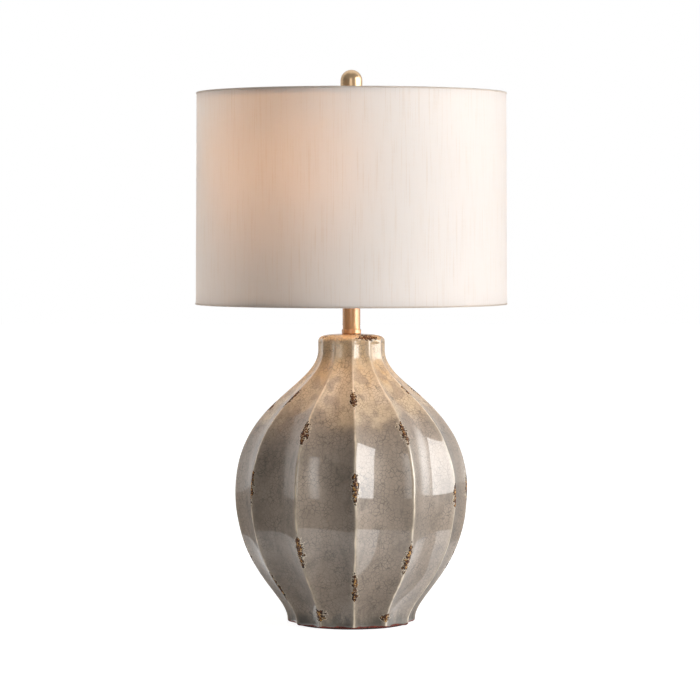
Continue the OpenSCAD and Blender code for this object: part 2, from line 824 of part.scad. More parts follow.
// Window for the switch shaft, cut through the shell and its card sleeve
module shaft_window() {
  translate([0, 0, switch_axis_z])
    rotate([90, 0, 0]) translate([0, 0, block_r - over]) cylinder(r = shaft_hole_r, h = socket_r);
}

module socket_shell() {
  color("#c9a25e")
    difference() {
      translate([0, 0, shell_z]) pipe_ring(socket_r, shell_in_r, socket_h);
      shaft_window();
    }
}

module socket_sleeve() {
  color("#5d4a38")
    difference() {
      translate([0, 0, shell_z]) pipe_ring(card_r, card_in_r, socket_h - card_set);
      shaft_window();
    }
}

module socket_screw_shell() {
  color("#b9a06a")
    translate([0, 0, block_top]) pipe_ring(screw_in_r + screw_shell_wall, screw_in_r, screw_shell_h);
}

module socket_contact() {
  color("#c8a24c")
    translate([0, 0, block_top])
      rotate_extrude()
        polygon([
          [0, 0],
          [contact_r, 0],
          [contact_r, contact_edge],
          [contact_r - contact_dome, contact_h],
          [0, contact_h]
        ]);
}

module switch_shaft() {
  color("#a08a5c")
    translate([0, 0, switch_axis_z])
      rotate([90, 0, 0])
        translate([0, 0, block_r - shaft_in + shaft_end_gap])
          cylinder(r = shaft_r, h = knob_z0 + knob_bore - block_r + shaft_in - 2 * shaft_end_gap);
}

// Knob: a round grip with shallow flutes and a blind hole for the shaft
module switch_knob() {
  color("#1f1c1a")
    translate([0, 0, switch_axis_z])
      rotate([90, 0, 0])
        translate([0, 0, knob_z0])
          difference() {
            rotate_extrude()
              polygon([
                [0, 0],
                [knob_r - knob_waist, 0],
                [knob_r - knob_waist, knob_waist_h],
                [knob_r, knob_waist_h + knob_waist],
                [knob_r, knob_len - knob_edge],
                [knob_r - knob_edge, knob_len],
                [0, knob_len]
              ]);
            translate([0, 0, -over]) cylinder(r = shaft_r + shaft_gap, h = knob_bore + over);
            for (i = [0:grip_count - 1])
              rotate([0, 0, i * 360 / grip_count])
                translate([knob_r + groove_r / 3, 0, knob_waist_h + 2 * knob_waist])
                  cylinder(r = groove_r, h = knob_len, $fn = 24);
          }
}

// Bulb base: a screw shell shown as rounded rings at the thread's pitch
module bulb_base() {
  ring_n = floor((bulb_neck_z - base_band_h - bulb_thread_z) / thread_pitch);
  color("#c9c9c4")
    rotate_extrude()
      polygon(concat(
        [[bulb_base_r - base_foot_in, bulb_thread_z], [bulb_base_r - thread_depth, bulb_thread_z]],
        [for (i = [0:ring_n - 1]) each [
          [bulb_base_r - thread_depth, bulb_thread_z + (i + thread_crest[0]) * thread_pitch],
          [bulb_base_r, bulb_thread_z + (i + thread_crest[1]) * thread_pitch],
          [bulb_base_r, bulb_thread_z + (i + thread_crest[2]) * thread_pitch],
          [bulb_base_r - thread_depth, bulb_thread_z + (i + thread_crest[3]) * thread_pitch]
        ]],
        [
          [bulb_base_r - base_band_set, bulb_neck_z - base_band_h],
          [bulb_base_r - base_band_set, bulb_neck_z],
          [base_in_r, bulb_neck_z],
          [base_in_r, bulb_thread_z + base_foot_t],
          [bulb_base_r - base_foot_in, bulb_thread_z + base_foot_t]
        ]
      ));
}

module bulb_insulator() {
  color("#26221f")
    rotate_extrude()
      polygon([
        [0, bulb_z + bulb_tip_h],
        [bulb_tip_r, bulb_z + bulb_tip_h],
        [bulb_base_r - base_foot_in, bulb_z + bulb_tip_h + insulator_cone],
        [base_in_r, bulb_thread_z],
        [0, bulb_thread_z]
      ]);
}

module bulb_contact() {
  color("#b9b9b2")
    rotate_extrude()
      polygon([
        [0, bulb_z],
        [bulb_tip_r - bulb_tip_dome, bulb_z + tip_gap],
        [bulb_tip_r, bulb_z + bulb_tip_h],
        [0, bulb_z + bulb_tip_h]
      ]);
}

// Glass envelope: a skirt inside the base, a straight neck, a flare and the globe itself
module bulb_glass() {
  steps = len(glass_outside);
  color("#fff4dc")
    difference() {
      rotate_extrude()
        polygon(concat([[0, bulb_neck_z - glass_skirt]], glass_outside));
      rotate_extrude()
        polygon(concat(
          [
            [0, bulb_neck_z - glass_skirt - over],
            [skirt_r - glass_t, bulb_neck_z - glass_skirt - over],
            [skirt_r - glass_t, bulb_neck_z + glass_lift + glass_lip]
          ],
          [for (i = [3:steps - 2]) let (p = glass_outside[i]) [p[0] - glass_t, p[1] - glass_t / 3]],
          [[0, bulb_top - glass_t]]
        ));
    }
}

// Harp: one bent wire from leg to leg, with a round eye at the top
module harp() {
  color("#b8a37a")
    difference() {
      union() {
        bent_wire(harp_path, wire_r);
        translate([0, 0, eye_z]) cylinder(r = eye_r, h = eye_h);
      }
      translate([0, 0, eye_z - over]) cylinder(r = rivet_r + pipe_gap, h = eye_h + 2 * over);
    }
}

// Stud: riveted through the eye, with the shoulder that carries the shade
module harp_stud() {
  color("#c9b27c")
    rotate_extrude()
      polygon([
        [0, eye_z - rivet_head_gap - rivet_head_h],
        [rivet_r + rivet_head_out - rivet_edge, eye_z - rivet_head_gap - rivet_head_h],
        [rivet_r + rivet_head_out, eye_z - rivet_head_gap],
        [rivet_r, eye_z - rivet_head_gap],
        [rivet_r, eye_top],
        [stud_seat_r, eye_top],
        [stud_seat_r, hub_z],
        [stud_r, hub_z],
        [stud_r, stud_top - stud_edge],
        [stud_r - stud_edge, stud_top],
        [0, stud_top]
      ]);
}

// Sleeve: slides up its leg to let it go, and rests on the saddle's shoulder
module harp_sleeve(x) {
  color("#c9a25e")
    translate([x, 0, shoulder_top]) pipe_ring(sleeve_in_r + sleeve_wall, sleeve_in_r, sleeve_len);
}

module harp_sleeve_left() {
  harp_sleeve(-leg_x);
}

module harp_sleeve_right() {
  harp_sleeve(leg_x);
}

// Fitter: hub, arms that rise at their ends, and the wire ring that they are welded to
module shade_fitter() {
  color("#d9d4c8")
    difference() {
      union() {
        translate([0, 0, hub_z]) cylinder(r = hub_r, h = hub_t);
        for (i = [0:arm_count - 1])
          rotate([0, 0, arm_start + i * 360 / arm_count]) bent_wire(arm_path, arm_wire / 2);
        wire_ring(top_ring_r, shade_wire_r, top_ring_z);
      }
      translate([0, 0, hub_z - over]) cylinder(r = stud_r + stud_gap, h = hub_t + 2 * over);
    }
}

module shade_bottom_ring() {
  color("#d9d4c8") wire_ring(bottom_ring_r, shade_wire_r, bottom_ring_z);
}

module shade_liner() {
  color("#f4efe4") shade_wall(cloth_bottom, cloth_top, fabric_t, skin_t);
}

module shade_fabric() {
  color("#efe6da") shade_wall(cloth_bottom, cloth_top, 0, fabric_t);
}

// Hems: the fabric goes over the edge and down inside the wire ring, notched round each arm
module shade_top_hem() {
  color("#e2d6c8")
    difference() {
      union() {
        shade_wall(cloth_top, shade_top, 0, hem_in + hem_t);
        shade_wall(shade_top - hem_depth, cloth_top, hem_in, hem_in + hem_t);
      }
      for (i = [0:arm_count - 1])
        rotate([0, 0, arm_start + i * 360 / arm_count])
          translate([top_ring_r - hem_depth, -notch_w / 2, shade_top - hem_depth - over])
            cube([hem_depth, notch_w, hem_depth + over - hem_t]);
    }
}

module shade_bottom_hem() {
  color("#e2d6c8") {
    shade_wall(shade_bottom, cloth_bottom, 0, hem_in + hem_t);
    shade_wall(cloth_bottom, shade_bottom + hem_depth, hem_in, hem_in + hem_t);
  }
}

module finial_ferrule() {
  color("#c79a6b")
    difference() {
      union() {
        translate([0, 0, finial_z])
          rotate_extrude()
            polygon([
              [0, 0],
              [finial_flange_r - flange_edge, 0],
              [finial_flange_r, flange_edge],
              [finial_flange_r, finial_flange_t - flange_edge],
              [finial_flange_r - flange_edge, finial_flange_t],
              [0, finial_flange_t]
            ]);
        translate([0, 0, finial_z]) cylinder(r = ferrule_r, h = finial_flange_t + ferrule_h);
      }
      translate([0, 0, finial_z - over])
        cylinder(r = stud_r + stud_gap, h = finial_flange_t + ferrule_h + 2 * over);
    }
}

// Knob of the finial: drawn-in foot, straight side and round top, hollowed for the ferrule
module finial_knob() {
  color("#c79a6b")
    difference() {
      rotate_extrude()
        polygon(concat(
          [[0, knob_z], [finial_r - finial_draw, knob_z]],
          sweep([finial_r - finial_draw, knob_z],
            [finial_r - finial_draw / 3, knob_z + finial_swell_h / 7],
            [finial_r, knob_z + finial_swell_h / 2], [finial_r, knob_z + finial_swell_h], 5),
          arc([0, finial_top - finial_r], finial_r, 0, 90, 16)
        ));
      translate([0, 0, knob_z - over]) cylinder(r = ferrule_r + tube_gap / 2, h = ferrule_h + over);
      translate([0, 0, knob_z])
        cylinder(r = stud_r + finial_room, h = max(stud_top - knob_z, ferrule_h) + finial_room);
    }
}

felt_ring();
ceramic_body();
cord_grommet();
base_seat();
base_washer();
base_lock_washer();
base_nut();
lamp_pipe();
neck_seat();
neck_collar();
neck_tube();
tube_cap();
harp_saddle();
saddle_nut();
socket_cap();
cap_set_screw();
socket_block();
terminal_screws();
socket_shell();
socket_sleeve();
socket_screw_shell();
socket_contact();
switch_shaft();
switch_knob();
bulb_base();
bulb_insulator();
bulb_contact();
bulb_glass();
harp();
harp_stud();
harp_sleeve_left();
harp_sleeve_right();
shade_fitter();
shade_bottom_ring();
shade_liner();
shade_fabric();
shade_top_hem();
shade_bottom_hem();
finial_ferrule();
finial_knob();
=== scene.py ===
"""Table lamp: ribbed crackle-glazed body, satin brass neck and finial, slub linen drum shade, lit."""
import json
import math

import bmesh
import bpy
import numpy as np
from bpy.props import FloatProperty, FloatVectorProperty, IntProperty, PointerProperty, StringProperty
from bpy.types import Operator, Panel, PropertyGroup
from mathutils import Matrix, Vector


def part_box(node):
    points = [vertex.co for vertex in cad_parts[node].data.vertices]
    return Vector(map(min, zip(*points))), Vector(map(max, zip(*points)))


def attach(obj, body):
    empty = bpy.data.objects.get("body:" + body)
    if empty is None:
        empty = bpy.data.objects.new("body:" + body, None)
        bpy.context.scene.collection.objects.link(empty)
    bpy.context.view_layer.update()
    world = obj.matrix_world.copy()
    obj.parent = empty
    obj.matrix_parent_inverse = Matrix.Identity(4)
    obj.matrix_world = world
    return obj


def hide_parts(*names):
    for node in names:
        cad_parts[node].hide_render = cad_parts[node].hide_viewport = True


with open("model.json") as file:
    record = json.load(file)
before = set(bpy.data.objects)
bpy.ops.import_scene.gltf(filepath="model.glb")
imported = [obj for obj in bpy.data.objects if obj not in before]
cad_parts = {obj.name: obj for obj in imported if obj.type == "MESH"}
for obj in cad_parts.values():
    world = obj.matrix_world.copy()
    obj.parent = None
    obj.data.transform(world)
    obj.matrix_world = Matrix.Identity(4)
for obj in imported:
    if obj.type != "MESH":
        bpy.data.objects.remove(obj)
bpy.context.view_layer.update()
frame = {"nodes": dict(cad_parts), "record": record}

bl_info = {
    "name": "Ribbed table lamp",
    "version": (1, 0, 0),
    "blender": (4, 5, 0),
    "location": "View3D > Sidebar > Lamp",
    "description": "Builds the looks of a ribbed ceramic table lamp around its construction model",
    "category": "Add Mesh",
}

MM = 0.001


def sizes(node):
    """Lowest z, highest z and outer radius of a round CAD node that stands on the lamp's axis."""
    low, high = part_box(node)
    return low.z, high.z, high.x


FOOT_Z, BODY_TOP, _ = sizes("ceramic_body")
TUBE_Z, TUBE_TOP, TUBE_R = sizes("neck_tube")
COLLAR_Z, COLLAR_TOP, COLLAR_R = sizes("neck_collar")
CAP_LOW, CAP_TOP, CAP_R = sizes("tube_cap")
SHADE_LOW, SHADE_TOP, SHADE_LOW_R = sizes("shade_fabric")
HEM_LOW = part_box("shade_bottom_hem")[0].z
HEM_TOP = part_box("shade_top_hem")[1].z
SHADE_TOP_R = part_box("shade_top_hem")[1].x
FLANGE_Z, FERRULE_TOP, FLANGE_R = sizes("finial_ferrule")
KNOB_Z, FINIAL_TOP, FINIAL_R = sizes("finial_knob")


# Settings that a user would change

def length(name, description, default):
    """A setting that is a length."""
    return FloatProperty(name=name, description=description, default=default, unit="LENGTH")


def tone(name, description, default):
    """A setting that is a colour, as sRGB hex."""
    return StringProperty(name=name, description=description, default=default)


def amount(name, description, default, **limits):
    """A setting that is a plain number."""
    return FloatProperty(name=name, description=description, default=default, **limits)


class BodySettings(PropertyGroup):
    """Sizes and glaze of the ceramic body."""

    rib_count: IntProperty(
        name="Ribs", description="Ribs round the body", default=12, min=6, max=24)
    rib_turn: FloatProperty(
        name="Rib turn", description="Turn of the front rib away from the front centre",
        default=math.radians(2), subtype="ANGLE")
    foot_r: length("Foot radius", "Radius over the ribs at the foot", 0.0845)
    foot_round: length("Foot rounding", "Rounding under the edge of the foot", 0.004)
    foot_sweep: length("Foot sweep", "Length of the upright sweep at the foot", 0.036)
    foot_lean: length("Foot lean", "How far that sweep leans inwards", 0.001)
    belly_r: length("Belly radius", "Radius over the ribs at the belly", 0.1524)
    belly_z: length("Belly height", "Height of the belly above the foot", 0.171)
    belly_fall: length("Belly fall", "Length of the sweep below the belly", 0.104)
    belly_climb: length("Belly climb", "Length of the sweep above the belly", 0.118)
    neck_r: length("Neck radius", "Radius over the ribs at the neck", 0.0446)
    neck_h: length("Neck height", "Height of the upright neck", 0.0205)
    neck_sweep: length("Neck sweep", "Length of the sweep below the neck", 0.050)
    rim_h: length("Rim height", "Height of the rounded edge round the top", 0.012)
    rim_drop: length("Rim drop", "How far below the top that edge turns inwards", 0.004)
    seat_r: length("Seat radius", "Radius of the flat seat on top", 0.014)
    flute_sink: length("Flute depth", "How far a panel sinks at the belly", 0.0085)
    rib_round: length("Rib rounding", "Depth over which a rib's edge is rounded", 0.003)
    glaze_mid: tone("Glaze", "Grey-taupe of the glaze, sRGB hex", "#968676")
    glaze_deep: tone("Deep glaze", "Darker tone where the glaze is thick", "#7a6c5e")
    glaze_thin: tone("Thin glaze", "Cream tone where the glaze thins over a rib", "#e6d5bb")
    # The shoulder and neck tones are partly the glaze's own and partly painted light: the bulb's warm light
    # and a reflection of the lit shade
    shoulder_cream_and_painted_light: tone("Shoulder glaze", "Paler tone on the shoulders", "#d0bc9f")
    neck_tan_and_painted_lamplight: tone("Neck glaze", "Tan tone towards the neck", "#c6a67b")


class ShadeSettings(PropertyGroup):
    """Cloth and light of the shade."""

    cloth: tone("Cloth", "Off-white of the linen, sRGB hex", "#f4f3f3")
    slub: tone("Slub", "Tone of the thicker threads", "#e8e0d9")
    # Painted shade: the hem's darker tone stands for the shade along the rolled, doubled edge
    hem: tone("Hem", "Tone of the doubled edge", "#cdc2b8")
    hem_h: length("Hem edge", "Height of the rolled edge seen outside", 0.0022)
    through: amount("Light through", "Share of light that a layer passes", 0.42, min=0, max=1)
    glow: amount("Glow", "Even glow of the lit cloth", 0.03, min=0, max=1)


class BrassSettings(PropertyGroup):
    """Finish of the brass that shows."""

    satin: tone("Satin brass", "Warm lacquered brass, sRGB hex", "#dca878")
    polished: tone("Plain brass", "Plain turned or drawn brass", "#d6b26a")


class StageSettings(PropertyGroup):
    """Camera, backdrop, studio lights and the bulb."""

    camera_place: FloatVectorProperty(
        name="Camera", description="Place of the camera", default=(0.0, -4.0, 0.5188), subtype="TRANSLATION")
    camera_tilt: FloatProperty(
        name="Tilt", description="How far the camera looks down", default=math.radians(2.32), subtype="ANGLE")
    lens: amount("Lens", "Focal length in millimetres", 157.9)
    shift: amount("Shift", "Sideways shift of the picture", -0.0020)
    white: amount("Backdrop", "Brightness of the backdrop", 1.0)
    fill: amount("Fill", "Light from all round", 0.17)
    key: amount("Key light", "Watts of the soft light on the right", 45.5)
    left: amount("Left light", "Watts of the soft light on the left", 27.0)
    top: amount("Top light", "Watts of the soft light overhead", 6.0)
    down: amount("Bulb's downlight", "Watts of the bulb's light on the body", 4.0)
    beam: amount("Bulb's beam", "Watts of the bulb's light on the shade", 0.70)
    bulb: amount("Bulb's glow", "Brightness of the bulb's glass", 3.5)


# Small tools for meshes

def linear(code):
    """sRGB hex to the linear colour that the shaders take."""
    srgb = np.array([int(code[i:i + 2], 16) for i in (1, 3, 5)]) / 255
    low = srgb / 12.92
    high = ((srgb + 0.055) / 1.055) ** 2.4
    return (*np.where(srgb <= 0.04045, low, high), 1.0)


def grid_faces(rows, columns, close_rows, close_columns):
    """Quads of a grid: each joins a point, its neighbour along the row and the two after it."""
    i = np.arange(rows if close_rows else rows - 1)[:, None]
    j = np.arange(columns if close_columns else columns - 1)[None, :]
    i2 = (i + 1) % rows
    j2 = (j + 1) % columns
    quads = np.stack([i * columns + j, i * columns + j2, i2 * columns + j2, i2 * columns + j], axis=-1)
    return quads.reshape(-1, 4)


def rings(r, a, z):
    """Rings of points round the lamp's axis: x = r sin a, y = -r cos a, so that the angle a is nought in
    front and grows to the right. Angles lie along the rows, and radius and height down the columns."""
    return np.stack(np.broadcast_arrays(r * np.sin(a), -r * np.cos(a), z), axis=-1)


def solid_sense(points, quads):
    """Signed volume of the quads: below zero means that they face inwards."""
    a, b, c, d = (points[quads[:, k]] for k in range(4))
    return float(np.einsum("ij,ij->i", a, np.cross(b, c) + np.cross(c, d)).sum())


def new_mesh(name, points, quads, sharp=40.0, values=None, uv=None, weld=True):
    """An object from arrays of points and quads, faced outwards, smooth apart from edges past an angle."""
    points = np.ascontiguousarray(points.reshape(-1, 3), dtype=np.float64)
    if solid_sense(points, quads) < 0:
        quads = quads[:, ::-1]
    mesh = bpy.data.meshes.new(name)
    mesh.vertices.add(len(points))
    mesh.vertices.foreach_set("co", points.astype(np.float32).ravel())
    mesh.loops.add(quads.size)
    mesh.loops.foreach_set("vertex_index", np.ascontiguousarray(quads, dtype=np.int32).ravel())
    mesh.polygons.add(len(quads))
    mesh.polygons.foreach_set("loop_start", np.arange(0, quads.size, 4, dtype=np.int32))
    mesh.update(calc_edges=True)
    for key, value in (values or {}).items():
        layer = mesh.attributes.new(key, "FLOAT", "POINT")
        layer.data.foreach_set("value", np.ascontiguousarray(value, dtype=np.float32).ravel())
    if uv is not None:
        layer = mesh.uv_layers.new(name="map")
        layer.data.foreach_set("uv", uv.reshape(-1, 2)[quads.ravel()].astype(np.float32).ravel())
    obj = bpy.data.objects.new(name, mesh)
    bpy.context.scene.collection.objects.link(obj)
    if weld:
        close_poles(mesh)
    mesh.shade_smooth()
    mesh.set_sharp_from_angle(angle=math.radians(sharp))
    return obj


def close_poles(mesh):
    """Merges points that lie on each other, so that poles and seams are closed."""
    work = bmesh.new()
    work.from_mesh(mesh)
    bmesh.ops.remove_doubles(work, verts=work.verts, dist=1e-6)
    work.to_mesh(mesh)
    work.free()
    mesh.update()


def eased(corners):
    """A profile with rounded corners. Each corner is (r, z, radius). Its arc runs from one tangent length
    before it to one tangent length after it, and both stay within half of the straight parts."""
    points = []
    count = len(corners)
    steps = 5
    for k, (r, z, radius) in enumerate(corners):
        here = np.array([r, z])
        if radius <= 0 or k in (0, count - 1):
            points.append(here[None, :])
            continue
        back = np.array(corners[k - 1][:2]) - here
        ahead = np.array(corners[k + 1][:2]) - here
        back_len, ahead_len = np.linalg.norm(back), np.linalg.norm(ahead)
        back, ahead = back / back_len, ahead / ahead_len
        half = math.acos(max(-1.0, min(1.0, float(back @ ahead)))) / 2
        if half > math.radians(89):
            points.append(here[None, :])
            continue
        reach = min(radius / math.tan(half), back_len * 0.49, ahead_len * 0.49)
        size = reach * math.tan(half)
        way = back + ahead
        centre = here + way / np.linalg.norm(way) * size / math.sin(half)
        start, end = here + back * reach - centre, here + ahead * reach - centre
        angle = math.atan2(start[0] * end[1] - start[1] * end[0], float(start @ end))
        t = np.linspace(0, angle, steps + 1)
        points.append(centre + np.stack([
            start[0] * np.cos(t) - start[1] * np.sin(t),
            start[0] * np.sin(t) + start[1] * np.cos(t)], axis=1))
    return np.vstack(points)


def turned(name, profile, columns=96):
    """A turned piece: a closed profile's points (r, z) carried round the axis, x = r cos a, y = r sin a."""
    profile = np.asarray(profile, dtype=float)
    a = np.linspace(0, 2 * np.pi, columns, endpoint=False)
    r, z = profile[:, :1], profile[:, 1:]
    points = np.stack([r * np.cos(a), r * np.sin(a), z + 0 * a], axis=-1)
    return new_mesh(name, points, grid_faces(len(profile), columns, True, True))


def sweep(a, b, c, d, t):
    """Points on a cubic sweep from a to d with pulls b and c."""
    t = np.asarray(t)[:, None]
    return (1 - t) ** 3 * a + 3 * (1 - t) ** 2 * t * b + 3 * (1 - t) * t ** 2 * c + t ** 3 * d


def arc(centre, radius, start, end, steps):
    """Points of an arc in a plane, from one angle in degrees to another."""
    t = np.radians(np.linspace(start, end, steps))
    return np.asarray(centre) + radius * np.stack([np.cos(t), np.sin(t)], axis=1)


def ride(obj, body, node):
    """Puts a piece on its body and hides the CAD node that it stands for."""
    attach(obj, body)
    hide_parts(node)


# Small tools for materials

def add(tree, kind, links=None, **settings):
    """Adds one node. Settings are its properties, and links are its inputs: each a socket or a node that
    feeds it, or else a number or a colour."""
    node = tree.nodes.new(kind)
    for key, value in settings.items():
        setattr(node, key, value)
    for key, value in (links or {}).items():
        if isinstance(value, bpy.types.Node):
            value = value.outputs[0]
        if isinstance(value, bpy.types.NodeSocket):
            tree.links.new(value, node.inputs[key])
        else:
            node.inputs[key].default_value = value
    return node


def new_material(name):
    """An empty node material and its tree."""
    material = bpy.data.materials.new(name)
    material.use_nodes = True
    material.node_tree.nodes.clear()
    return material, material.node_tree


def surfaced(material, shader):
    """Gives a material its finished shader."""
    add(material.node_tree, "ShaderNodeOutputMaterial", {"Surface": shader})
    return material


def paint(obj, material):
    """Gives a piece its one material."""
    obj.data.materials.clear()
    obj.data.materials.append(material)
    return obj


def place(tree):
    """The point on the piece, in metres from the lamp's origin."""
    return add(tree, "ShaderNodeTexCoord").outputs["Object"]


def field(tree, name):
    """A value that the mesh carries at each point."""
    return add(tree, "ShaderNodeAttribute", attribute_name=name).outputs["Fac"]


def height_of(tree, point):
    """Height of a point."""
    return add(tree, "ShaderNodeSeparateXYZ", {"Vector": point}).outputs["Z"]


def stretched(tree, point, scale):
    """A point scaled along each axis, which draws a pattern out along the axes of small scale."""
    return add(tree, "ShaderNodeMapping", {"Vector": point, "Scale": scale})


def mottle(tree, point, size_mm, detail=2.0, roughness=0.5):
    """Noise whose blotches are about so many millimetres across."""
    return add(tree, "ShaderNodeTexNoise", {
        "Vector": point, "Scale": 1000.0 / size_mm, "Detail": detail, "Roughness": roughness,
    }).outputs["Fac"]


def span(tree, value, low, high, to_low=0.0, to_high=1.0, smooth=True):
    """Takes a value from one range to another and holds it there."""
    return add(tree, "ShaderNodeMapRange", {
        "Value": value, "From Min": low, "From Max": high, "To Min": to_low, "To Max": to_high,
    }, interpolation_type="SMOOTHSTEP" if smooth else "LINEAR").outputs["Result"]


def sums(tree, operation, *values):
    """One step of arithmetic on two or three values."""
    return add(tree, "ShaderNodeMath", dict(enumerate(values)), operation=operation).outputs[0]


def times(tree, a, b):
    """Product of two values."""
    return sums(tree, "MULTIPLY", a, b)


def stir(tree, value, noise, reach):
    """A value that a noise moves up and down, by half the reach each way at the most."""
    return sums(tree, "ADD", value, times(tree, sums(tree, "SUBTRACT", noise, 0.5), reach))


def blend(tree, share, a, b):
    """Mixes two colours by a share. Sockets 6, 7 and 2 are the ones that the node has for colours."""
    return add(tree, "ShaderNodeMix", {0: share, 6: a, 7: b}, data_type="RGBA").outputs[2]


def bump(tree, height, depth_mm, strength, **below):
    """Relief of a given depth from a height between 0 and 1, on top of the relief below, given as Normal."""
    return add(tree, "ShaderNodeBump", {
        "Height": height, "Distance": depth_mm * MM, "Strength": strength, **below}).outputs["Normal"]


# Materials

def crackle_glaze(body):
    """Slip-cast stoneware under a thick glossy glaze that has crazed as it cooled. The eye gets a deep wet
    gloss, hairline cracks a few millimetres apart, cream edges where the glaze has run thin off the ribs,
    and brown clay where it is knocked off."""
    material, tree = new_material("crackle_glaze")
    point = place(tree)
    height = height_of(tree, point)

    # Its own tone: cloudy and darker in thick places, with freckles and upright streaks. Each layer is a
    # share and a tone, and lies over those before it
    cloud = mottle(tree, point, 60, 3, 0.6)
    freckle = mottle(tree, point, 7, 4, 0.65)
    runs = stretched(tree, point, (1.0, 1.0, 0.16))
    streak = mottle(tree, runs, 9, 3, 0.55)
    layers = [
        (span(tree, cloud, 0.38, 0.66), body.glaze_deep),
        (span(tree, freckle, 0.35, 0.75, 0.0, 0.35), "#aa9a88"),
        (span(tree, streak, 0.42, 0.7, 0.0, 0.4), "#a39484"),
    ]

    # Cream on the shoulders and tan towards the neck, behind a dripping edge, and pooled at the foot
    high = stir(tree, height, cloud, 0.12)
    high = stir(tree, high, mottle(tree, runs, 24, 2, 0.5), 0.09)
    # Painted reflection: grey patches on the shoulders that stand for the darker reflection of the shade's
    # inside
    painted_dark_reflection = span(tree, mottle(tree, runs, 17, 1, 0.5), 0.53, 0.62, 0.0, 0.6)
    painted_dark_reflection = times(tree, painted_dark_reflection, span(tree, height, BODY_TOP - 0.035, BODY_TOP - 0.05, 0.0, 1.0))
    pool = stir(tree, height, streak, 0.03)
    layers += [
        # Partly paler glaze, partly painted light: the lit shade's reflection and the bulb's warm light on
        # the shoulders
        (span(tree, high, BODY_TOP - 0.122, BODY_TOP - 0.085, 0.0, 0.8), body.shoulder_cream_and_painted_light),
        # Partly warmer glaze, partly painted light: the bulb's warm light towards the neck, painted into the
        # colour
        (span(tree, high, BODY_TOP - 0.07, BODY_TOP - 0.02, 0.0, 0.8), body.neck_tan_and_painted_lamplight),
        (painted_dark_reflection, body.glaze_mid),
        (span(tree, pool, FOOT_Z + 0.004, FOOT_Z + 0.022, 0.8, 0.0), "#433f34"),
        # The tan seat on top: partly thin glaze, partly the bulb's warm light painted into the colour
        (span(tree, high, BODY_TOP - 0.004, BODY_TOP + 0.001, 0.0, 0.85), "#ccae86"),
    ]

    # Crazing: two nets of hairline cracks. The real lines are 0.1 mm wide and are drawn at 0.3 mm to show
    shift = add(tree, "ShaderNodeTexNoise", {"Vector": point, "Scale": 120.0, "Detail": 2.0}).outputs["Color"]
    shift = add(tree, "ShaderNodeVectorMath", {0: shift, 1: (0.5, 0.5, 0.5)}, operation="SUBTRACT")
    shift = add(tree, "ShaderNodeVectorMath", {0: shift, "Scale": 0.004}, operation="SCALE")
    warped = add(tree, "ShaderNodeVectorMath", {0: point, 1: shift}, operation="ADD")
    cracks = []
    for cell_mm, line in ((5.0, 0.10), (2.8, 0.08)):
        net = add(tree, "ShaderNodeTexVoronoi", {"Vector": warped, "Scale": 1000.0 / cell_mm},
                  feature="DISTANCE_TO_EDGE").outputs["Distance"]
        cracks.append(span(tree, net, 0.0, line, 1.0, 0.0))
    fine = times(tree, cracks[1], span(tree, mottle(tree, point, 30, 2), 0.45, 0.6, 0.0, 0.6))
    crack = sums(tree, "MAXIMUM", cracks[0], fine)
    stain = span(tree, mottle(tree, point, 18, 2), 0.3, 0.7, 0.22, 0.66)
    layers.append((times(tree, crack, stain), "#4a4037"))

    # Ribs: the glaze thins to a cream line with a paler band beside it, broken here and there
    # The paler band is partly thinner glaze and partly painted light where the rounded rib catches the light
    edge = stir(tree, field(tree, "rib_gap"), mottle(tree, runs, 5, 3), 0.0035)
    patchy = span(tree, mottle(tree, point, 26, 2), 0.38, 0.62, 0.3, 0.9)
    patchy = times(tree, patchy, span(tree, height, BODY_TOP - 0.06, BODY_TOP - 0.02, 1.0, 0.35))
    line = times(tree, patchy, span(tree, edge, 0.0003, 0.0021, 1.0, 0.0))
    layers += [(span(tree, edge, 0.001, 0.0075, 0.35, 0.0), "#b5a590"), (line, body.glaze_thin)]

    # Chips: a cream lip and a ragged dark rim round brown clay, with most of its ochre in the lower chips
    depth = stir(tree, field(tree, "wear"), mottle(tree, point, 4.4, 2, 0.6), 2.3)
    chip = span(tree, depth, 0.28, 0.4)
    grit = span(tree, mottle(tree, point, 2.6, 1, 0.5), 0.5, 0.66)
    ochre = times(tree, grit, span(tree, height, 0.2, 0.24, 1.0, 0.35))
    clay = blend(tree, ochre, linear("#4c2810"), linear("#c8954c"))
    clay = blend(tree, span(tree, depth, 0.48, 0.72), linear("#24120a"), clay)
    pale = times(tree, span(tree, mottle(tree, point, 2.3, 1), 0.58, 0.66), 0.7)
    clay = blend(tree, pale, clay, linear("#cdb592"))
    layers.append((span(tree, depth, 0.08, 0.26, 0.0, 0.6), body.glaze_thin))

    # Bare clay on the foot's ring and where the glaze stops short of it
    naked = span(tree, stir(tree, field(tree, "bare"), mottle(tree, point, 14, 3), 1.3), 0.45, 0.6)
    earth = span(tree, mottle(tree, point, 2.2, 3), 0.35, 0.7)
    earth = blend(tree, earth, linear("#4a1d18"), linear("#8c3f30"))

    colour = linear(body.glaze_mid)
    for share, code in layers:
        colour = blend(tree, share, colour, linear(code))
    colour = blend(tree, naked, blend(tree, chip, colour, clay), earth)
    dull = sums(tree, "MAXIMUM", times(tree, chip, 0.9), naked)
    relief = bump(tree, sums(tree, "SUBTRACT", 1.0, crack), 0.05, 0.6)
    relief = bump(tree, sums(tree, "SUBTRACT", 1.0, chip), 0.5, 1.0, Normal=relief)
    relief = bump(tree, freckle, 0.05, 0.5, Normal=relief)
    relief = bump(tree, mottle(tree, point, 24, 1), 0.5, 0.6, Normal=relief)
    shader = add(tree, "ShaderNodeBsdfPrincipled", {
        "Base Color": colour,
        "Roughness": span(tree, dull, 0.0, 1.0, 0.42, 0.85, smooth=False),
        "IOR": 1.5,
        "Coat Weight": span(tree, dull, 0.0, 1.0, 1.0, 0.0, smooth=False),
        "Coat Roughness": 0.03,
        "Coat IOR": 1.6,
        "Normal": relief,
    })
    return surfaced(material, shader)


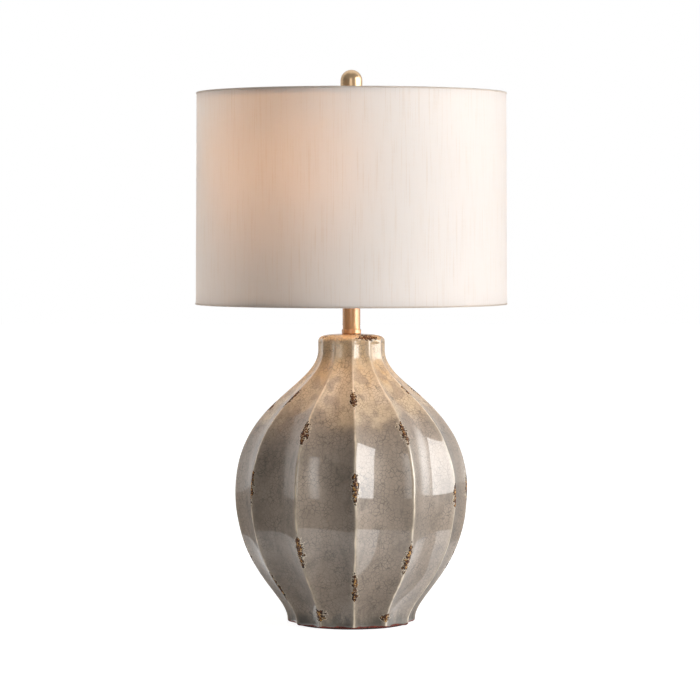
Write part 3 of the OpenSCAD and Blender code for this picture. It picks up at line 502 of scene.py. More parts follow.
def satin_metal(name, code, roughness, upright=True, lacquer=0.0):
    """Brass or plated steel, brushed, with or without lacquer. The eye gets soft bands of light with fine
    lines in them, and on lacquer one crisp bright line. The brush lines are 0.1 mm apart in the real metal
    and are drawn at 0.5 mm to show."""
    material, tree = new_material(name)
    point = place(tree)
    stretch = (1.0, 1.0, 0.05) if upright else (0.05, 0.05, 1.0)
    grain = mottle(tree, stretched(tree, point, stretch), 0.5, 3, 0.6)
    tarnish = mottle(tree, point, 12, 3, 0.6)
    base = linear(code)
    dark = tuple(0.72 * c for c in base[:3]) + (1.0,)
    colour = blend(tree, span(tree, tarnish, 0.35, 0.75, 0.0, 0.15), base, dark)
    rough = sums(tree, "ADD", span(tree, grain, 0.3, 0.7, -0.02, 0.02, smooth=False),
                 span(tree, tarnish, 0.3, 0.8, roughness, roughness + 0.04))
    shader = add(tree, "ShaderNodeBsdfPrincipled", {
        "Base Color": colour,
        "Metallic": 1.0 - 0.25 * lacquer,
        "Roughness": rough,
        "Coat Weight": lacquer,
        "Coat Roughness": 0.05,
        "Normal": bump(tree, grain, 0.003, 0.5),
    })
    return surfaced(material, shader)


def slub_linen(name, code, slub_code, through, glow=0.0):
    """Slub linen laminated to a stiff backing. The eye gets fine upright threads of uneven thickness, and
    where the bulb is behind it a warm light in which the thick threads stand darker. The threads are 0.5 mm
    apart in the real cloth, and the slubs are drawn at 1 to 3 mm so that they show."""
    material, tree = new_material(name)
    flat = add(tree, "ShaderNodeUVMap", uv_map="map").outputs["UV"]

    def threads(across_mm, along_mm, detail=2.0):
        way = stretched(tree, flat, (1000.0 / across_mm, 1000.0 / along_mm, 1.0))
        return add(tree, "ShaderNodeTexNoise", {"Vector": way, "Scale": 1.0, "Detail": detail},
                   noise_dimensions="2D").outputs["Fac"]

    warp = threads(1.1, 90)
    slubs = threads(2.6, 70, 3.0)
    weft = threads(30, 1.6)
    weave = sums(tree, "MULTIPLY_ADD", warp, 0.45, times(tree, slubs, 0.55))
    weave = sums(tree, "MULTIPLY_ADD", sums(tree, "SUBTRACT", weft, 0.5), 0.12, weave)
    thick = span(tree, weave, 0.5, 0.72)
    colour = blend(tree, times(tree, thick, 0.4), linear(code), linear(slub_code))
    relief = bump(tree, weave, 0.12, 0.5)
    front = add(tree, "ShaderNodeBsdfPrincipled", {
        "Base Color": colour,
        "Roughness": 0.85,
        "Sheen Weight": 0.15,
        "Sheen Roughness": 0.5,
        "Specular IOR Level": 0.2,
        "Normal": relief,
    })
    passed = blend(tree, thick, linear("#fffaf5"), linear("#f7efe6"))
    back = add(tree, "ShaderNodeBsdfTranslucent", {"Color": passed, "Normal": relief})
    mixed = add(tree, "ShaderNodeMixShader", {0: through, 1: front, 2: back})
    # Painted glow: a faint, even warm emission that stands for the bulb's light through the cloth
    if glow > 0:
        front.inputs["Emission Color"].default_value = linear("#ffcf94")
        front.inputs["Emission Strength"].default_value = glow
    return surfaced(material, mixed)


def backing_sheet(through):
    """White styrene sheet behind the cloth, extruded smooth. The eye gets an even, faintly shiny white."""
    material, tree = new_material("styrene_backing")
    point = place(tree)
    cloud = span(tree, mottle(tree, point, 40, 2), 0.3, 0.7)
    white = blend(tree, cloud, linear("#f6f3ef"), linear("#f0ece6"))
    front = add(tree, "ShaderNodeBsdfPrincipled", {
        "Base Color": white,
        "Roughness": 0.42,
        "IOR": 1.5,
        "Normal": bump(tree, mottle(tree, point, 5, 2), 0.02, 0.4),
    })
    back = add(tree, "ShaderNodeBsdfTranslucent", {"Color": linear("#fffaf4")})
    mixed = add(tree, "ShaderNodeMixShader", {0: through, 1: front, 2: back})
    return surfaced(material, mixed)


def lit_glass(strength):
    """Bulb glass frosted white inside, lit. The eye gets a glowing warm white, softer towards the neck."""
    material, tree = new_material("frosted_bulb_glass")
    low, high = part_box("bulb_glass")
    glow = span(tree, height_of(tree, place(tree)), low.z, high.z - 0.03, strength / 8, strength)
    shader = add(tree, "ShaderNodeBsdfPrincipled", {
        "Base Color": linear("#fff3e0"),
        "Roughness": 0.35,
        "Emission Color": linear("#ffd9a0"),
        "Emission Strength": glow,
    })
    return surfaced(material, shader)


def plain_finish(name, light, dark, roughness, size_mm, depth_mm=0.02, metallic=0.0, coat=0.0):
    """A plain moulded, plated, pressed or painted surface with slight mottling and relief."""
    material, tree = new_material(name)
    point = place(tree)
    cloud = mottle(tree, point, size_mm, 3, 0.6)
    fine = mottle(tree, point, size_mm / 8, 2)
    colour = blend(tree, span(tree, cloud, 0.35, 0.7), linear(light), linear(dark))
    shader = add(tree, "ShaderNodeBsdfPrincipled", {
        "Base Color": colour,
        "Metallic": metallic,
        "Roughness": span(tree, cloud, 0.3, 0.75, roughness * 0.85, min(1.0, roughness * 1.2)),
        "Coat Weight": coat,
        "Normal": bump(tree, fine, depth_mm, 0.5),
    })
    return surfaced(material, shader)


# Ceramic body

# Chips on the ribs that show in front: rib counted anticlockwise from above, lowest and highest point in
# millimetres, and how far they reach from the rib
CHIPS = (
    (0, 285, 311, 3.0), (0, 165, 213, 3.4), (0, 33, 84, 3.0),
    (1, 238, 273, 4.0), (1, 72, 119, 3.4), (1, 9, 22, 5.0),
    (2, 299, 314, 2.4), (2, 152, 191, 2.2),
    (11, 238, 272, 4.2), (11, 80, 132, 3.6), (11, 8, 30, 5.0),
    (10, 284, 311, 2.2), (10, 158, 211, 2.4), (10, 33, 77, 2.2),
)
# Chips round the rim of the top: middle and half width in degrees from the front, and strength
RIM_CHIPS = ((33, 26, 1.3), (-62, 8, 0.8), (150, 16, 0.9), (-130, 12, 0.8))


def rear_chips(ribs, seen):
    """Chips of the same kind on the ribs that the picture doesn't show: three bands, shifted by a seeded
    draw."""
    draw = np.random.default_rng(7)
    chips = []
    for rib in range(ribs):
        if rib in seen:
            continue
        for low, high in ((285, 310), (165, 215), (50, 95)):
            shift, grow = draw.uniform(-25, 25), draw.uniform(0.5, 1.0)
            if draw.uniform() < 0.8:
                chips.append((rib, low + shift, low + shift + (high - low) * grow, draw.uniform(2.2, 3.8)))
    return tuple(chips)


class LAMP_OT_body(Operator):
    """Ribbed ceramic body: a surface of height and angle, with its chips"""

    bl_idname = "lamp.body"
    bl_label = "Ceramic body"

    def execute(self, context):
        body = context.scene.lamp_body
        obj = ribbed_body(body)
        paint(obj, crackle_glaze(body))
        drill_cord_hole(obj)
        ride(obj, "lamp", "ceramic_body")
        return {"FINISHED"}


def body_outline(body):
    """Points (r, z) over a rib: rounded foot, two cubic sweeps up the side, upright neck, rounded top."""
    top = BODY_TOP
    foot = np.array([body.foot_r, FOOT_Z + body.foot_round])
    belly = np.array([body.belly_r, FOOT_Z + body.belly_z])
    neck = np.array([body.neck_r, top - body.neck_h])
    shoulder = np.array([body.neck_r, top - body.rim_h])
    seat = np.array([body.seat_r, top])
    turn_in = np.array([body.neck_r, top - body.rim_drop])
    pull = np.array([body.neck_r - (body.neck_r - body.seat_r) / 8, top])
    edge = arc(foot - [body.foot_round, 0], body.foot_round, -90, 0, 7)
    low = sweep(foot, foot + [-body.foot_lean, body.foot_sweep - body.foot_round],
                belly - [0, body.belly_fall], belly, np.linspace(0, 1, 120))[1:]
    high = sweep(belly, belly + [0, body.belly_climb], neck - [0, body.neck_sweep], neck,
                 np.linspace(0, 1, 132))[1:]
    rim = sweep(shoulder, turn_in, pull, seat, np.linspace(0, 1, 26))
    return edge, np.vstack([low, high]), np.linspace(neck, shoulder, 7)[1:-1], rim


def panel_radius(body, rib_r, angle, half):
    """Radius of a panel at an angle from its middle: the straight line between two ribs, sunk in an arc."""
    sink = body.flute_sink * rib_r / body.belly_r
    bow = 1 - (np.tan(angle) / np.tan(half)) ** 2
    return (rib_r * np.cos(half) - sink * bow) / np.cos(angle)


def ribbed_body(body):
    """The outside follows radius(height, angle): inside a panel it is the sunk panel, and near a rib it is
    the smooth least of this panel and the next one, which rounds the rib. The rings then go on down the
    pipe's hole, round the hollow and under the foot, so that the shell is closed."""
    ribs = body.rib_count
    step = 2 * math.pi / ribs
    half = step / 2
    edge, side, neck, rim = body_outline(body)
    out = np.vstack([edge, side, neck, rim])
    share = np.ones(len(out))
    share[-len(rim):] = (BODY_TOP - rim[:, 1]) / body.rim_h

    # Columns lie closer together near the ribs
    per_panel = 24
    u = np.linspace(-1, 1, per_panel, endpoint=False)
    within = half * (0.35 * u + 0.65 * np.sin(np.pi / 2 * u))
    angle = np.tile(within, ribs)
    turn = body.rib_turn + (np.repeat(np.arange(ribs), per_panel) + 0.5) * step + angle
    near = half - np.abs(angle)

    rib_r = out[:, :1]
    z = out[:, 1:]
    here = panel_radius(body, rib_r, np.abs(angle), half)
    beyond = panel_radius(body, rib_r, half + near, half)

    # The ribs are rounder over the lowest 30 mm and the top 70 mm
    foot_near = np.clip(1 - (z - FOOT_Z) / 0.03, 0, 1)
    neck_near = np.clip(1 - (BODY_TOP - z) / 0.07, 0, 1)
    soft = body.rib_round * (np.clip(rib_r / body.belly_r, 0.5, 1) + 0.8 * foot_near + 0.9 * neck_near)
    close = np.clip(soft - np.abs(here - beyond), 0, None) / soft
    radius = np.minimum(here, beyond) - close ** 2 * soft / 4
    radius = rib_r + (radius - rib_r) * share[:, None]

    # A hand-finished wall: shallow waves of some tenths of a millimetre
    waves = (0.35 * np.sin(31 * z + 2 * turn + 1.1) + 0.25 * np.sin(74 * z - 3 * turn + 0.4)
             + 0.2 * np.sin(118 * z + 5 * turn) + 0.22 * np.sin(7 * turn + 45 * z + 2.0))
    radius = radius - np.clip(waves + 0.4, 0, None) * 0.45 * MM * share[:, None]
    sway = np.sin(55 * z + 4 * turn) + 0.6 * np.sin(141 * z - 2 * turn)
    sway = 0.45 * MM / np.clip(rib_r, 0.08, 1) * sway
    outside = rings(radius, turn + sway * share[:, None], z)

    # What the glaze needs to know at each point: distance from the rib, wear, and bareness at the foot
    gap = rib_r * near[None, :] + 0 * radius
    rib_of = (np.repeat(np.arange(ribs), per_panel) + (angle >= 0)) % ribs
    seen = {chip[0] for chip in CHIPS}
    wear = np.full(radius.shape, -1.0)
    for rib, low, high, reach in CHIPS + rear_chips(ribs, seen):
        middle, spread = (low + high) / 2 * MM, (high - low) / 2 * MM
        along = 1 - (np.abs(z - middle) / spread) ** 3
        bite = 0.95 * along - gap / (reach * 2.0 * MM)
        wear = np.where(rib_of[None, :] == rib, np.maximum(wear, bite), wear)
    for middle, spread, strength in RIM_CHIPS:
        away = np.degrees(np.abs((turn - math.radians(middle) + np.pi) % (2 * np.pi) - np.pi)) / spread
        band = np.abs(z - (BODY_TOP - 0.0035)) / 0.0032
        wear = np.maximum(wear, strength * (0.75 - 0.5 * away[None, :] ** 2) - 0.55 * band)
    bare = np.clip(1.0 - (z - FOOT_Z) / 0.0055, -1, 1) + 0 * radius

    # Inner rings: the pipe's hole in the crown, the hollow behind the panels, the hole in the floor, the
    # recess under it and the foot ring
    floor_z, floor_t, crown_t, wall = FOOT_Z + 0.018, 0.008, 0.009, 0.007
    recess_r, hole_r = 0.0661, 0.0065
    hollow_z = np.linspace(floor_z + floor_t, BODY_TOP - crown_t, 12)
    rib_line = np.interp(hollow_z, out[:-len(rim), 1], out[:-len(rim), 0])
    behind = panel_radius(body, rib_line, 0.0, half) - wall
    inner = np.vstack([
        [[body.seat_r * 0.75, BODY_TOP], [hole_r + 0.0006, BODY_TOP], [hole_r, BODY_TOP - 0.0006]],
        [[hole_r, BODY_TOP - crown_t]],
        np.stack([behind, hollow_z], axis=1)[::-1],
        [[hole_r, floor_z + floor_t], [hole_r, floor_z], [recess_r - 0.002, floor_z]],
        [[recess_r, floor_z - 0.002], [recess_r, FOOT_Z + 0.0008], [recess_r + 0.0008, FOOT_Z]],
    ])
    points = np.concatenate([outside, rings(inner[:, :1], turn, inner[:, 1:])])
    rest = np.ones((len(inner), len(turn)))
    lining = np.where(np.arange(len(inner)) < 2, -1.0, 1.0)[:, None]
    values = {
        "rib_gap": np.vstack([gap, rest]),
        "wear": np.vstack([wear, -rest]),
        "bare": np.vstack([bare, rest * lining]),
    }
    quads = grid_faces(len(points), len(turn), True, True)
    return new_mesh("ceramic_shell", points, quads, 50, values, weld=False)


def drill_cord_hole(obj):
    """Cuts the cord's hole and the flat round it through the panel, along the grommet's own axis."""
    low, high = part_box("cord_grommet")
    middle = (low + high) / 2
    way = Vector((middle.x, middle.y, 0)).normalized()
    up = Vector((0, 0, 1))
    across = way.cross(up)
    outer = max(Vector((x, high.y, 0)).dot(way) for x in (low.x, high.x))
    tall = (high.z - low.z) / 2
    a = np.linspace(0, 2 * np.pi, 48, endpoint=False)[:, None]
    circle = np.cos(a) * np.array(up) + np.sin(a) * np.array(across)
    cutters = []
    for start, end, radius in ((0.04, 0.11, tall - 0.0019), (outer - 0.0022, 0.11, tall + 0.0002)):
        along = np.array([start, start, end, end])[:, None, None]
        reach = np.array([0.0, radius, radius, 0.0])[:, None, None]
        points = np.array(way) * along + np.array([0, 0, middle.z]) + reach * circle
        cutters.append(new_mesh("cord_cutter", points, grid_faces(4, len(a), False, True)))
    for cutter in cutters:
        cut = obj.modifiers.new("cord_hole", "BOOLEAN")
        cut.object = cutter
        cut.solver = "EXACT"
    bpy.context.view_layer.update()
    ready = obj.evaluated_get(bpy.context.evaluated_depsgraph_get())
    mesh = bpy.data.meshes.new_from_object(ready)
    obj.modifiers.clear()
    obj.data = mesh
    for cutter in cutters:
        bpy.data.objects.remove(cutter)


# Brass neck and finial

class LAMP_OT_neck(Operator):
    """Satin brass neck: collar, tube and cap, turned about the lamp's axis"""

    bl_idname = "lamp.neck"
    bl_label = "Brass neck"

    def execute(self, context):
        brass = satin_metal("satin_brass", context.scene.lamp_brass.satin, 0.4, lacquer=1.0)
        inner = 0.005
        collar = turned("collar", eased([
            (inner, COLLAR_Z, 0), (COLLAR_R, COLLAR_Z, 0.0006), (COLLAR_R, COLLAR_TOP, 0.0009),
            (TUBE_R + 0.0001, COLLAR_TOP - 0.0001, 0.0004), (TUBE_R + 0.0001, TUBE_Z, 0), (inner, TUBE_Z, 0),
        ]))
        tube = turned("neck_pipe", eased([
            (TUBE_R - 0.001, TUBE_Z, 0), (TUBE_R, TUBE_Z, 0.0002), (TUBE_R, TUBE_TOP, 0.0002),
            (TUBE_R - 0.001, TUBE_TOP, 0),
        ]), 128)
        cap = turned("neck_cap", eased([
            (inner, CAP_LOW, 0), (TUBE_R - 0.0011, CAP_LOW, 0.0004), (TUBE_R - 0.0011, TUBE_TOP, 0),
            (CAP_R, TUBE_TOP, 0.0004), (CAP_R, CAP_TOP, 0.0014), (inner, CAP_TOP, 0),
        ]))
        for obj, node in ((collar, "neck_collar"), (tube, "neck_tube"), (cap, "tube_cap")):
            paint(obj, brass)
            ride(obj, "lamp", node)
        return {"FINISHED"}


class LAMP_OT_finial(Operator):
    """Finial: turned brass knob with a round top, on its flanged ferrule"""

    bl_idname = "lamp.finial"
    bl_label = "Finial"

    def execute(self, context):
        brass = bpy.data.materials["satin_brass"]
        dome_z = FINIAL_TOP - FINIAL_R
        bore = 0.00655
        foot = [
            (bore, KNOB_Z, 0), (FINIAL_R - 0.0024, KNOB_Z, 0.0005),
            (FINIAL_R - 0.0008, KNOB_Z + 0.002, 0.003), (FINIAL_R, KNOB_Z + 0.007, 0.004),
            (FINIAL_R, dome_z, 0),
        ]
        hollow_r, step_z, hollow_z = 0.0041, KNOB_Z + 0.006, KNOB_Z + 0.0117
        knob = turned("finial_dome", np.vstack([
            eased(foot), arc((0, dome_z), FINIAL_R, 0, 90, 28)[1:],
            [[0, hollow_z], [hollow_r, hollow_z], [hollow_r, step_z], [bore, step_z]],
        ]))
        base = turned("finial_base", eased([
            (0.0032, FLANGE_Z, 0), (FLANGE_R, FLANGE_Z, 0.0007), (FLANGE_R, KNOB_Z, 0.0007),
            (0.0065, KNOB_Z, 0), (0.0065, FERRULE_TOP, 0.0004), (0.0032, FERRULE_TOP, 0),
        ]))
        for obj, node in ((knob, "finial_knob"), (base, "finial_ferrule")):
            paint(obj, brass)
            ride(obj, "finial", node)
        return {"FINISHED"}


# Shade

def shade_radius(z):
    """Radius of the shade's outer face at a height: a cone between its two edges."""
    t = (z - HEM_LOW) / (HEM_TOP - HEM_LOW)
    return SHADE_LOW_R + (SHADE_TOP_R - SHADE_LOW_R) * t


class LAMP_OT_shade(Operator):
    """Shade: linen sheet, styrene backing and rolled hems"""

    bl_idname = "lamp.shade"
    bl_label = "Shade"

    def execute(self, context):
        shade = context.scene.lamp_shade
        linen = slub_linen("slub_linen", shade.cloth, shade.slub, shade.through, shade.glow)
        # The hems' darker tone is painted shade along the rolled edge
        shaded_hem_linen = slub_linen("shaded_hem_linen", shade.hem, shade.slub, 0.7)
        cloth = paint(cloth_sheet(), linen)
        ride(cloth, "shade", "shade_fabric")
        backing = paint(backing_wall(), backing_sheet(0.85))
        ride(backing, "shade", "shade_liner")
        for side in ("top", "bottom"):
            hem = paint(rolled_hem(side, shade.hem_h), shaded_hem_linen)
            ride(hem, "shade", f"shade_{side}_hem")
        return {"FINISHED"}


def cloth_sheet():
    """The cloth, once round: radius of the cone, raised a little over the glued seam at the back. Its map is
    in metres, along the edge and up."""
    rows, columns = 60, 256
    low, high = HEM_LOW + 0.0004, HEM_TOP - 0.0004
    a = np.linspace(0, 2 * np.pi, columns + 1)
    z = np.linspace(low, high, rows)[:, None]
    lap, slope, rise = 0.012, 0.001, 0.0004
    seam = np.clip((lap - np.abs(a - np.pi) * SHADE_LOW_R) / slope, 0, 1) * rise
    r = shade_radius(z) - 0.0006 + seam
    uv = np.stack(np.broadcast_arrays(a * SHADE_LOW_R, z), axis=-1)
    return new_mesh("linen_cloth", rings(r, a, z), grid_faces(rows, columns + 1, False, False), 60, uv=uv)


def backing_wall():
    """The backing: a closed thin wall behind the cloth, 0.7 mm thick, on the same cone."""
    low, high = sizes("shade_liner")[:2]
    z = np.linspace(low, high, 12)
    outer = np.stack([shade_radius(z) - 0.0007, z], axis=1)
    inner = np.stack([shade_radius(z) - 0.0014, z], axis=1)[::-1]
    return turned("shade_backing", np.vstack([outer, inner]), 192)


def rolled_hem(side, height):
    """A hem: the cloth comes over the edge in a small round roll and goes down inside the wire ring. Its
    profile is a thin band with a round lip, carried round the shade, and its map is in metres."""
    low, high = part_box(f"shade_{side}_hem")
    edge, way = (low.z, 1.0) if side == "bottom" else (high.z, -1.0)
    depth = high.z - low.z
    thick, r = 0.0006, 0.0009
    outer = shade_radius(edge)
    inner = outer - 0.0054
    lip = [
        (outer - 0.0005, edge + way * height, 0.0002), (outer, edge + way * height, 0.0003),
        (outer, edge, r), (inner, edge, r), (inner, edge + way * depth, 0.0002),
        (inner + thick, edge + way * depth, 0.0002), (inner + thick, edge + way * thick, 0.0004),
        (outer - thick, edge + way * thick, 0.0001), (outer - thick, edge + way * height, 0),
    ]
    profile = eased([lip[-1]] + lip)
    columns = 192
    a = np.linspace(0, 2 * np.pi, columns + 1)
    run = np.concatenate([[0], np.cumsum(np.linalg.norm(np.diff(profile, axis=0), axis=1))])
    uv = np.stack(np.broadcast_arrays(a * SHADE_LOW_R, run[:, None]), axis=-1)
    points = rings(profile[:, :1], a, profile[:, 1:])
    return new_mesh(f"hem_{side}", points, grid_faces(len(profile), columns + 1, False, False), 50, uv=uv)


# Stage

# Points along each side of a studio card
CARD_STEPS = 33
# Cards on the floor, for the reflections in the lower half of the glaze: name, azimuths in degrees to the
# right of the front, and brightness next to the foot, a third of a metre out, and beyond 0.43 m
FLOOR_CARDS = (
    ("left", -180, -16, 0.25, 0.9, 0.18), ("front", -16, 6, 0.5, 1.3, 0.2),
    ("front_right", 6, 34, 0.3, 1.0, 0.3), ("right", 34, 70, 1.6, 2.9, 0.35),
    ("far_right", 70, 90, 0.6, 0.9, 0.35), ("side", 90, 114, 0.4, 1.6, 0.5),
    ("back_right", 114, 180, 0.3, 0.6, 0.3),
)
# Upright cards, for the upper half: name, radius, azimuths, heights, brightness, and whether edges are soft
UPRIGHT_CARDS = (
    ("window", 2.6, 50, 88, -0.14, 2.0, 6.5, False),
    ("front_strip", 2.8, -16, 6, -0.3, 2.3, 2.9, True),
    ("dark_left", 3.0, -100, -15, 0.0, 1.95, 0.18, False),
    ("dark_front", 3.1, -15, 50, 0.0, 1.95, 0.25, False),
    ("dim_back", 3.1, -175, -100, 0.0, 2.6, 0.7, False),
    ("side_strip", 2.7, 86, 122, -0.3, 2.3, 4.6, True),
    ("dim_right", 3.1, 92, 185, 0.0, 2.6, 0.6, False),
)


def around(distance, azimuth, height):
    """A place at an azimuth in degrees to the right of the camera's side, and a height."""
    t = math.radians(azimuth)
    return Vector((distance * math.sin(t), -distance * math.cos(t), height))


def aimed_light(name, kind, location, way, power, colour):
    """A light that shines along a way, and that neither the camera nor a reflection sees."""
    data = bpy.data.lights.new(name, kind)
    data.energy = power
    data.color = linear(colour)[:3]
    obj = bpy.data.objects.new(name, data)
    bpy.context.scene.collection.objects.link(obj)
    obj.location = location
    obj.rotation_euler = way.to_track_quat("-Z", "Y").to_euler()
    obj.visible_camera = False
    obj.visible_glossy = False
    return data


def soft_light(name, location, look_at, width, height, power, colour="#ffffff"):
    """A rectangular soft light that faces a point."""
    data = aimed_light(name, "AREA", location, Vector(look_at) - Vector(location), power, colour)
    data.shape = "RECTANGLE"
    data.size, data.size_y = width, height


def bulb_spot(name, location, way, spread, power, colour):
    """A warm beam with a soft edge, as wide as a spread in degrees."""
    data = aimed_light(name, "SPOT", location, way, power, colour)
    data.spot_size = math.radians(spread)
    data.spot_blend = 1.0
    data.shadow_soft_size = 0.02


def card(name, radius, az_low, az_high, z_low, z_high, strength, soft):
    """A curved studio card: part of an upright cylinder round the lamp. A soft one fades out towards its
    edges as half a wave of a sine."""
    a = np.radians(np.linspace(az_low, az_high, CARD_STEPS))
    z = np.linspace(z_low, z_high, CARD_STEPS)[:, None]
    half_wave = np.sin(np.linspace(0, np.pi, CARD_STEPS))
    values = {"glow": half_wave[:, None] ** 0.5 * half_wave ** 1.5} if soft else None
    quads = grid_faces(CARD_STEPS, CARD_STEPS, False, False)
    shine_card(new_mesh(name, rings(radius, a, z), quads, values=values, weld=False), strength, soft=soft)


def dome_card(name, radius, az_low, az_high, el_low, el_high, strength):
    """A studio card overhead: part of a globe round the lamp, between two elevations in degrees."""
    rows = 9
    a = np.radians(np.linspace(az_low, az_high, CARD_STEPS))
    e = np.radians(np.linspace(el_low, el_high, rows))[:, None]
    points = rings(radius * np.cos(e), a, radius * np.sin(e))
    shine_card(new_mesh(name, points, grid_faces(rows, CARD_STEPS, False, False)), strength)


def ring_card(name, inner, outer, az_low, az_high, inner_glow, outer_glow):
    """A flat card just above the floor, round part of the lamp between two azimuths. Its brightness goes from
    one value at its inner edge to another three quarters of the way out."""
    columns = 97
    a = np.radians(np.linspace(az_low, az_high, columns))
    points = rings(np.array([[inner], [outer]]), a, 1 * MM)
    obj = new_mesh(name, points, grid_faces(2, columns, False, False))
    shine_card(obj, outer_glow, (inner, outer * 0.75, inner_glow))


def shine_card(obj, strength, fade=None, soft=False):
    """Gives a card its glow and hides it from all but reflections. A fade starts at a radius with a strength
    of its own and is over at a second radius. A soft card is clear where its glow attribute is nought."""
    material, tree = new_material(obj.name + "_paper")
    if fade is not None:
        start, end, start_strength = fade
        away = add(tree, "ShaderNodeVectorMath", {0: place(tree)}, operation="LENGTH").outputs["Value"]
        strength = span(tree, away, start, end, start_strength, strength)
    glow = add(tree, "ShaderNodeEmission", {"Color": (1, 1, 1, 1), "Strength": strength})
    if soft:
        clear = add(tree, "ShaderNodeBsdfTransparent")
        glow = add(tree, "ShaderNodeMixShader", {0: field(tree, "glow"), 1: clear, 2: glow})
    paint(obj, surfaced(material, glow))
    for rays in ("camera", "diffuse", "shadow", "transmission", "volume_scatter"):
        setattr(obj, f"visible_{rays}", False)


class LAMP_OT_stage(Operator):
    """Stage: pale floor, white backdrop, soft lights, studio cards and the camera"""

    bl_idname = "lamp.stage"
    bl_label = "Stage"

    def execute(self, context):
        scene = context.scene
        stage = scene.lamp_stage
        backdrop(scene, stage)
        floor()
        soft_light("key_light", around(2.2, 57, 0.8), (0, 0, 0.42), 1.0, 1.3, stage.key)
        soft_light("left_light", around(2.2, -117, 0.7), (0, 0, 0.4), 0.9, 1.4, stage.left, "#fffaf6")
        soft_light("top_light", (0.2, -0.6, 2.4), (0, 0, 0.3), 1.2, 1.2, stage.top)
        lamp_light(stage)
        for side, low, high, foot, near, far in FLOOR_CARDS:
            ring_card(f"{side}_table_card", 0.09, 0.43, low, high, foot, near)
            ring_card(f"{side}_room_card", 0.43, 3.0, low, high, far, far)
        for name, *form in UPRIGHT_CARDS:
            card(f"{name}_card", *form)
        dome_card("ceiling_card", 3.4, -110, 100, 30, 80, 0.3)
        camera(scene, stage)
        scene.view_settings.view_transform = "Standard"
        return {"FINISHED"}


def seen_white(tree):
    """One for rays that show the studio itself: to the camera, in a gloss or through glass, but not light
    that cloth or paint scatters."""
    path = add(tree, "ShaderNodeLightPath")
    seen = sums(tree, "MAXIMUM", path.outputs["Is Camera Ray"], path.outputs["Is Glossy Ray"])
    seen = sums(tree, "MAXIMUM", seen, path.outputs["Is Transmission Ray"])
    return sums(tree, "MINIMUM", seen, sums(tree, "SUBTRACT", 1.0, path.outputs["Is Diffuse Ray"]))


def backdrop(scene, stage):
    """White world for the camera, reflections and glass, and a quieter one as light on the lamp."""
    world = bpy.data.worlds.new("studio")
    scene.world = world
    world.use_nodes = True
    tree = world.node_tree
    tree.nodes.clear()
    strength = sums(tree, "MULTIPLY_ADD", seen_white(tree), stage.white - stage.fill, stage.fill)
    light = add(tree, "ShaderNodeBackground", {"Color": (1, 1, 1, 1), "Strength": strength})
    add(tree, "ShaderNodeOutputWorld", {"Surface": light})


def floor():
    """A pale floor: white to the camera and to reflections, apart from the lamp's soft shadow."""
    reach = 12.0
    corners = np.array([[-reach, -reach, 0], [reach, -reach, 0], [reach, reach, 0], [-reach, reach, 0]])
    obj = new_mesh("floor", corners, np.array([[0, 1, 2, 3]]), weld=False)
    material, tree = new_material("pale_floor")
    point = place(tree)
    away = add(tree, "ShaderNodeVectorMath", {0: point}, operation="LENGTH").outputs["Value"]
    grey = blend(tree, mottle(tree, point, 400, 2), (0.39, 0.39, 0.39, 1), (0.41, 0.41, 0.41, 1))
    paper = add(tree, "ShaderNodeBsdfDiffuse", {"Color": grey})
    own = span(tree, away, 0.3, 1.6, 0.88, 1.0)
    white = add(tree, "ShaderNodeEmission", {"Color": (1, 1, 1, 1), "Strength": own})
    both = add(tree, "ShaderNodeAddShader", {0: paper, 1: white})
    plain = add(tree, "ShaderNodeBsdfDiffuse", {"Color": (0.8, 0.8, 0.8, 1)})
    mixed = add(tree, "ShaderNodeMixShader", {0: seen_white(tree), 1: plain, 2: both})
    paint(obj, surfaced(material, mixed))


def lamp_light(stage):
    """The bulb's own light where the picture shows it: a warm beam on the shade, to the left of the front,
    and four beams round the glass that light the body's top and shoulders."""
    level = Vector((0, 0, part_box("bulb_glass")[1].z - 0.03))
    way = around(1.0, -32, 0)
    bulb_spot("bulb_beam", way * 0.045 + level, way, 128, stage.beam, "#ffbe7c")
    for k in range(4):
        place_at = around(0.042, 45 + 90 * k, 0) + level
        bulb_spot(f"bulb_down_{k}", place_at, Vector((0, 0, -1)), 66, stage.down / 4, "#ffcb96")


def camera(scene, stage):
    """The camera in front of the lamp, a little above its middle and tilted down."""
    data = bpy.data.cameras.new("camera")
    data.lens = stage.lens
    data.sensor_width = 36.0
    data.sensor_fit = "HORIZONTAL"
    data.shift_x = stage.shift
    data.clip_end = 100.0
    obj = bpy.data.objects.new("camera", data)
    scene.collection.objects.link(obj)
    obj.location = stage.camera_place
    obj.rotation_euler = (math.pi / 2 - stage.camera_tilt, 0, 0)
    scene.camera = obj


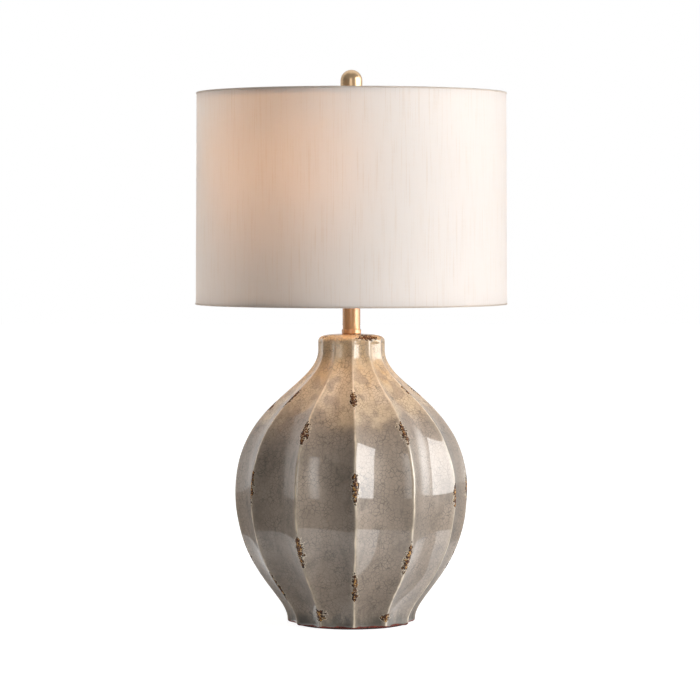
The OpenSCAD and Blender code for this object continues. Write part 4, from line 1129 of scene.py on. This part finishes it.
class LAMP_OT_fittings(Operator):
    """Finishes for the CAD pieces that keep their shape"""

    bl_idname = "lamp.fittings"
    bl_label = "Fittings"

    def execute(self, context):
        brass = satin_metal("drawn_brass", context.scene.lamp_brass.polished, 0.2, upright=False)
        finishes = {
            "satin_brass": bpy.data.materials["satin_brass"],
            "plain_brass": brass,
            "socket_brass": brass,
            "harp_metal": satin_metal("plated_wire", "#c9ad77", 0.26, upright=False),
            "zinc_steel": satin_metal("zinc_plate", "#b9b9b4", 0.35, upright=False),
            "rubber": plain_finish("moulded_rubber", "#2b2a29", "#201f1e", 0.7, 6),
            "felt": plain_finish("wool_felt", "#3b3836", "#2a2826", 0.95, 3, 0.3),
            "phenolic": plain_finish("moulded_phenolic", "#2a211b", "#1c1612", 0.3, 8, 0.01, coat=0.3),
            "insulating_card": plain_finish("pressed_card", "#6a5139", "#553f2b", 0.8, 4, 0.05),
            "lamp_nickel": plain_finish("plated_base", "#d4d2cc", "#b7b4ad", 0.25, 6, 0.005, metallic=1.0),
            "black_glass": plain_finish("fused_insulator", "#1d1b1a", "#121110", 0.2, 4, 0.01),
            "frosted_glass": lit_glass(context.scene.lamp_stage.bulb),
            "painted_wire": plain_finish("painted_wire", "#ece7dc", "#ded7c8", 0.4, 10, 0.02),
        }
        # Nodes in any other slot have a piece that stands for them
        slot_of = {part["node"]: part["material_slot"] for part in frame["record"]["subparts"]}
        for node, obj in frame["nodes"].items():
            if slot_of[node] in finishes:
                paint(obj, finishes[slot_of[node]])
        return {"FINISHED"}


class LAMP_PT_panel(Panel):
    """Lists the steps that build the lamp"""

    bl_idname = "LAMP_PT_panel"
    bl_label = "Table lamp"
    bl_space_type = "VIEW_3D"
    bl_region_type = "UI"
    bl_category = "Lamp"

    def draw(self, context):
        layout = self.layout
        for name in SETTINGS:
            settings = getattr(context.scene, name)
            box = layout.box()
            for key in settings.bl_rna.properties.keys():
                if key not in ("rna_type", "name"):
                    box.prop(settings, key)
        for step in STEPS:
            layout.operator(step.bl_idname)


STEPS = (LAMP_OT_stage, LAMP_OT_neck, LAMP_OT_fittings, LAMP_OT_body, LAMP_OT_finial, LAMP_OT_shade)
SETTINGS = {
    "lamp_body": BodySettings,
    "lamp_shade": ShadeSettings,
    "lamp_brass": BrassSettings,
    "lamp_stage": StageSettings,
}


def register():
    """Registers the settings, the steps and the panel."""
    for name, group in SETTINGS.items():
        bpy.utils.register_class(group)
        setattr(bpy.types.Scene, name, PointerProperty(type=group))
    for item in (*STEPS, LAMP_PT_panel):
        bpy.utils.register_class(item)


def unregister():
    """Takes them away again."""
    for item in (LAMP_PT_panel, *reversed(STEPS)):
        bpy.utils.unregister_class(item)
    for name, group in reversed(SETTINGS.items()):
        delattr(bpy.types.Scene, name)
        bpy.utils.unregister_class(group)


def main():
    """Builds the lamp step by step."""
    register()
    for step in STEPS:
        group, name = step.bl_idname.split(".")
        getattr(getattr(bpy.ops, group), name)()
    bpy.context.view_layer.update()


if __name__ == "__main__":
    main()
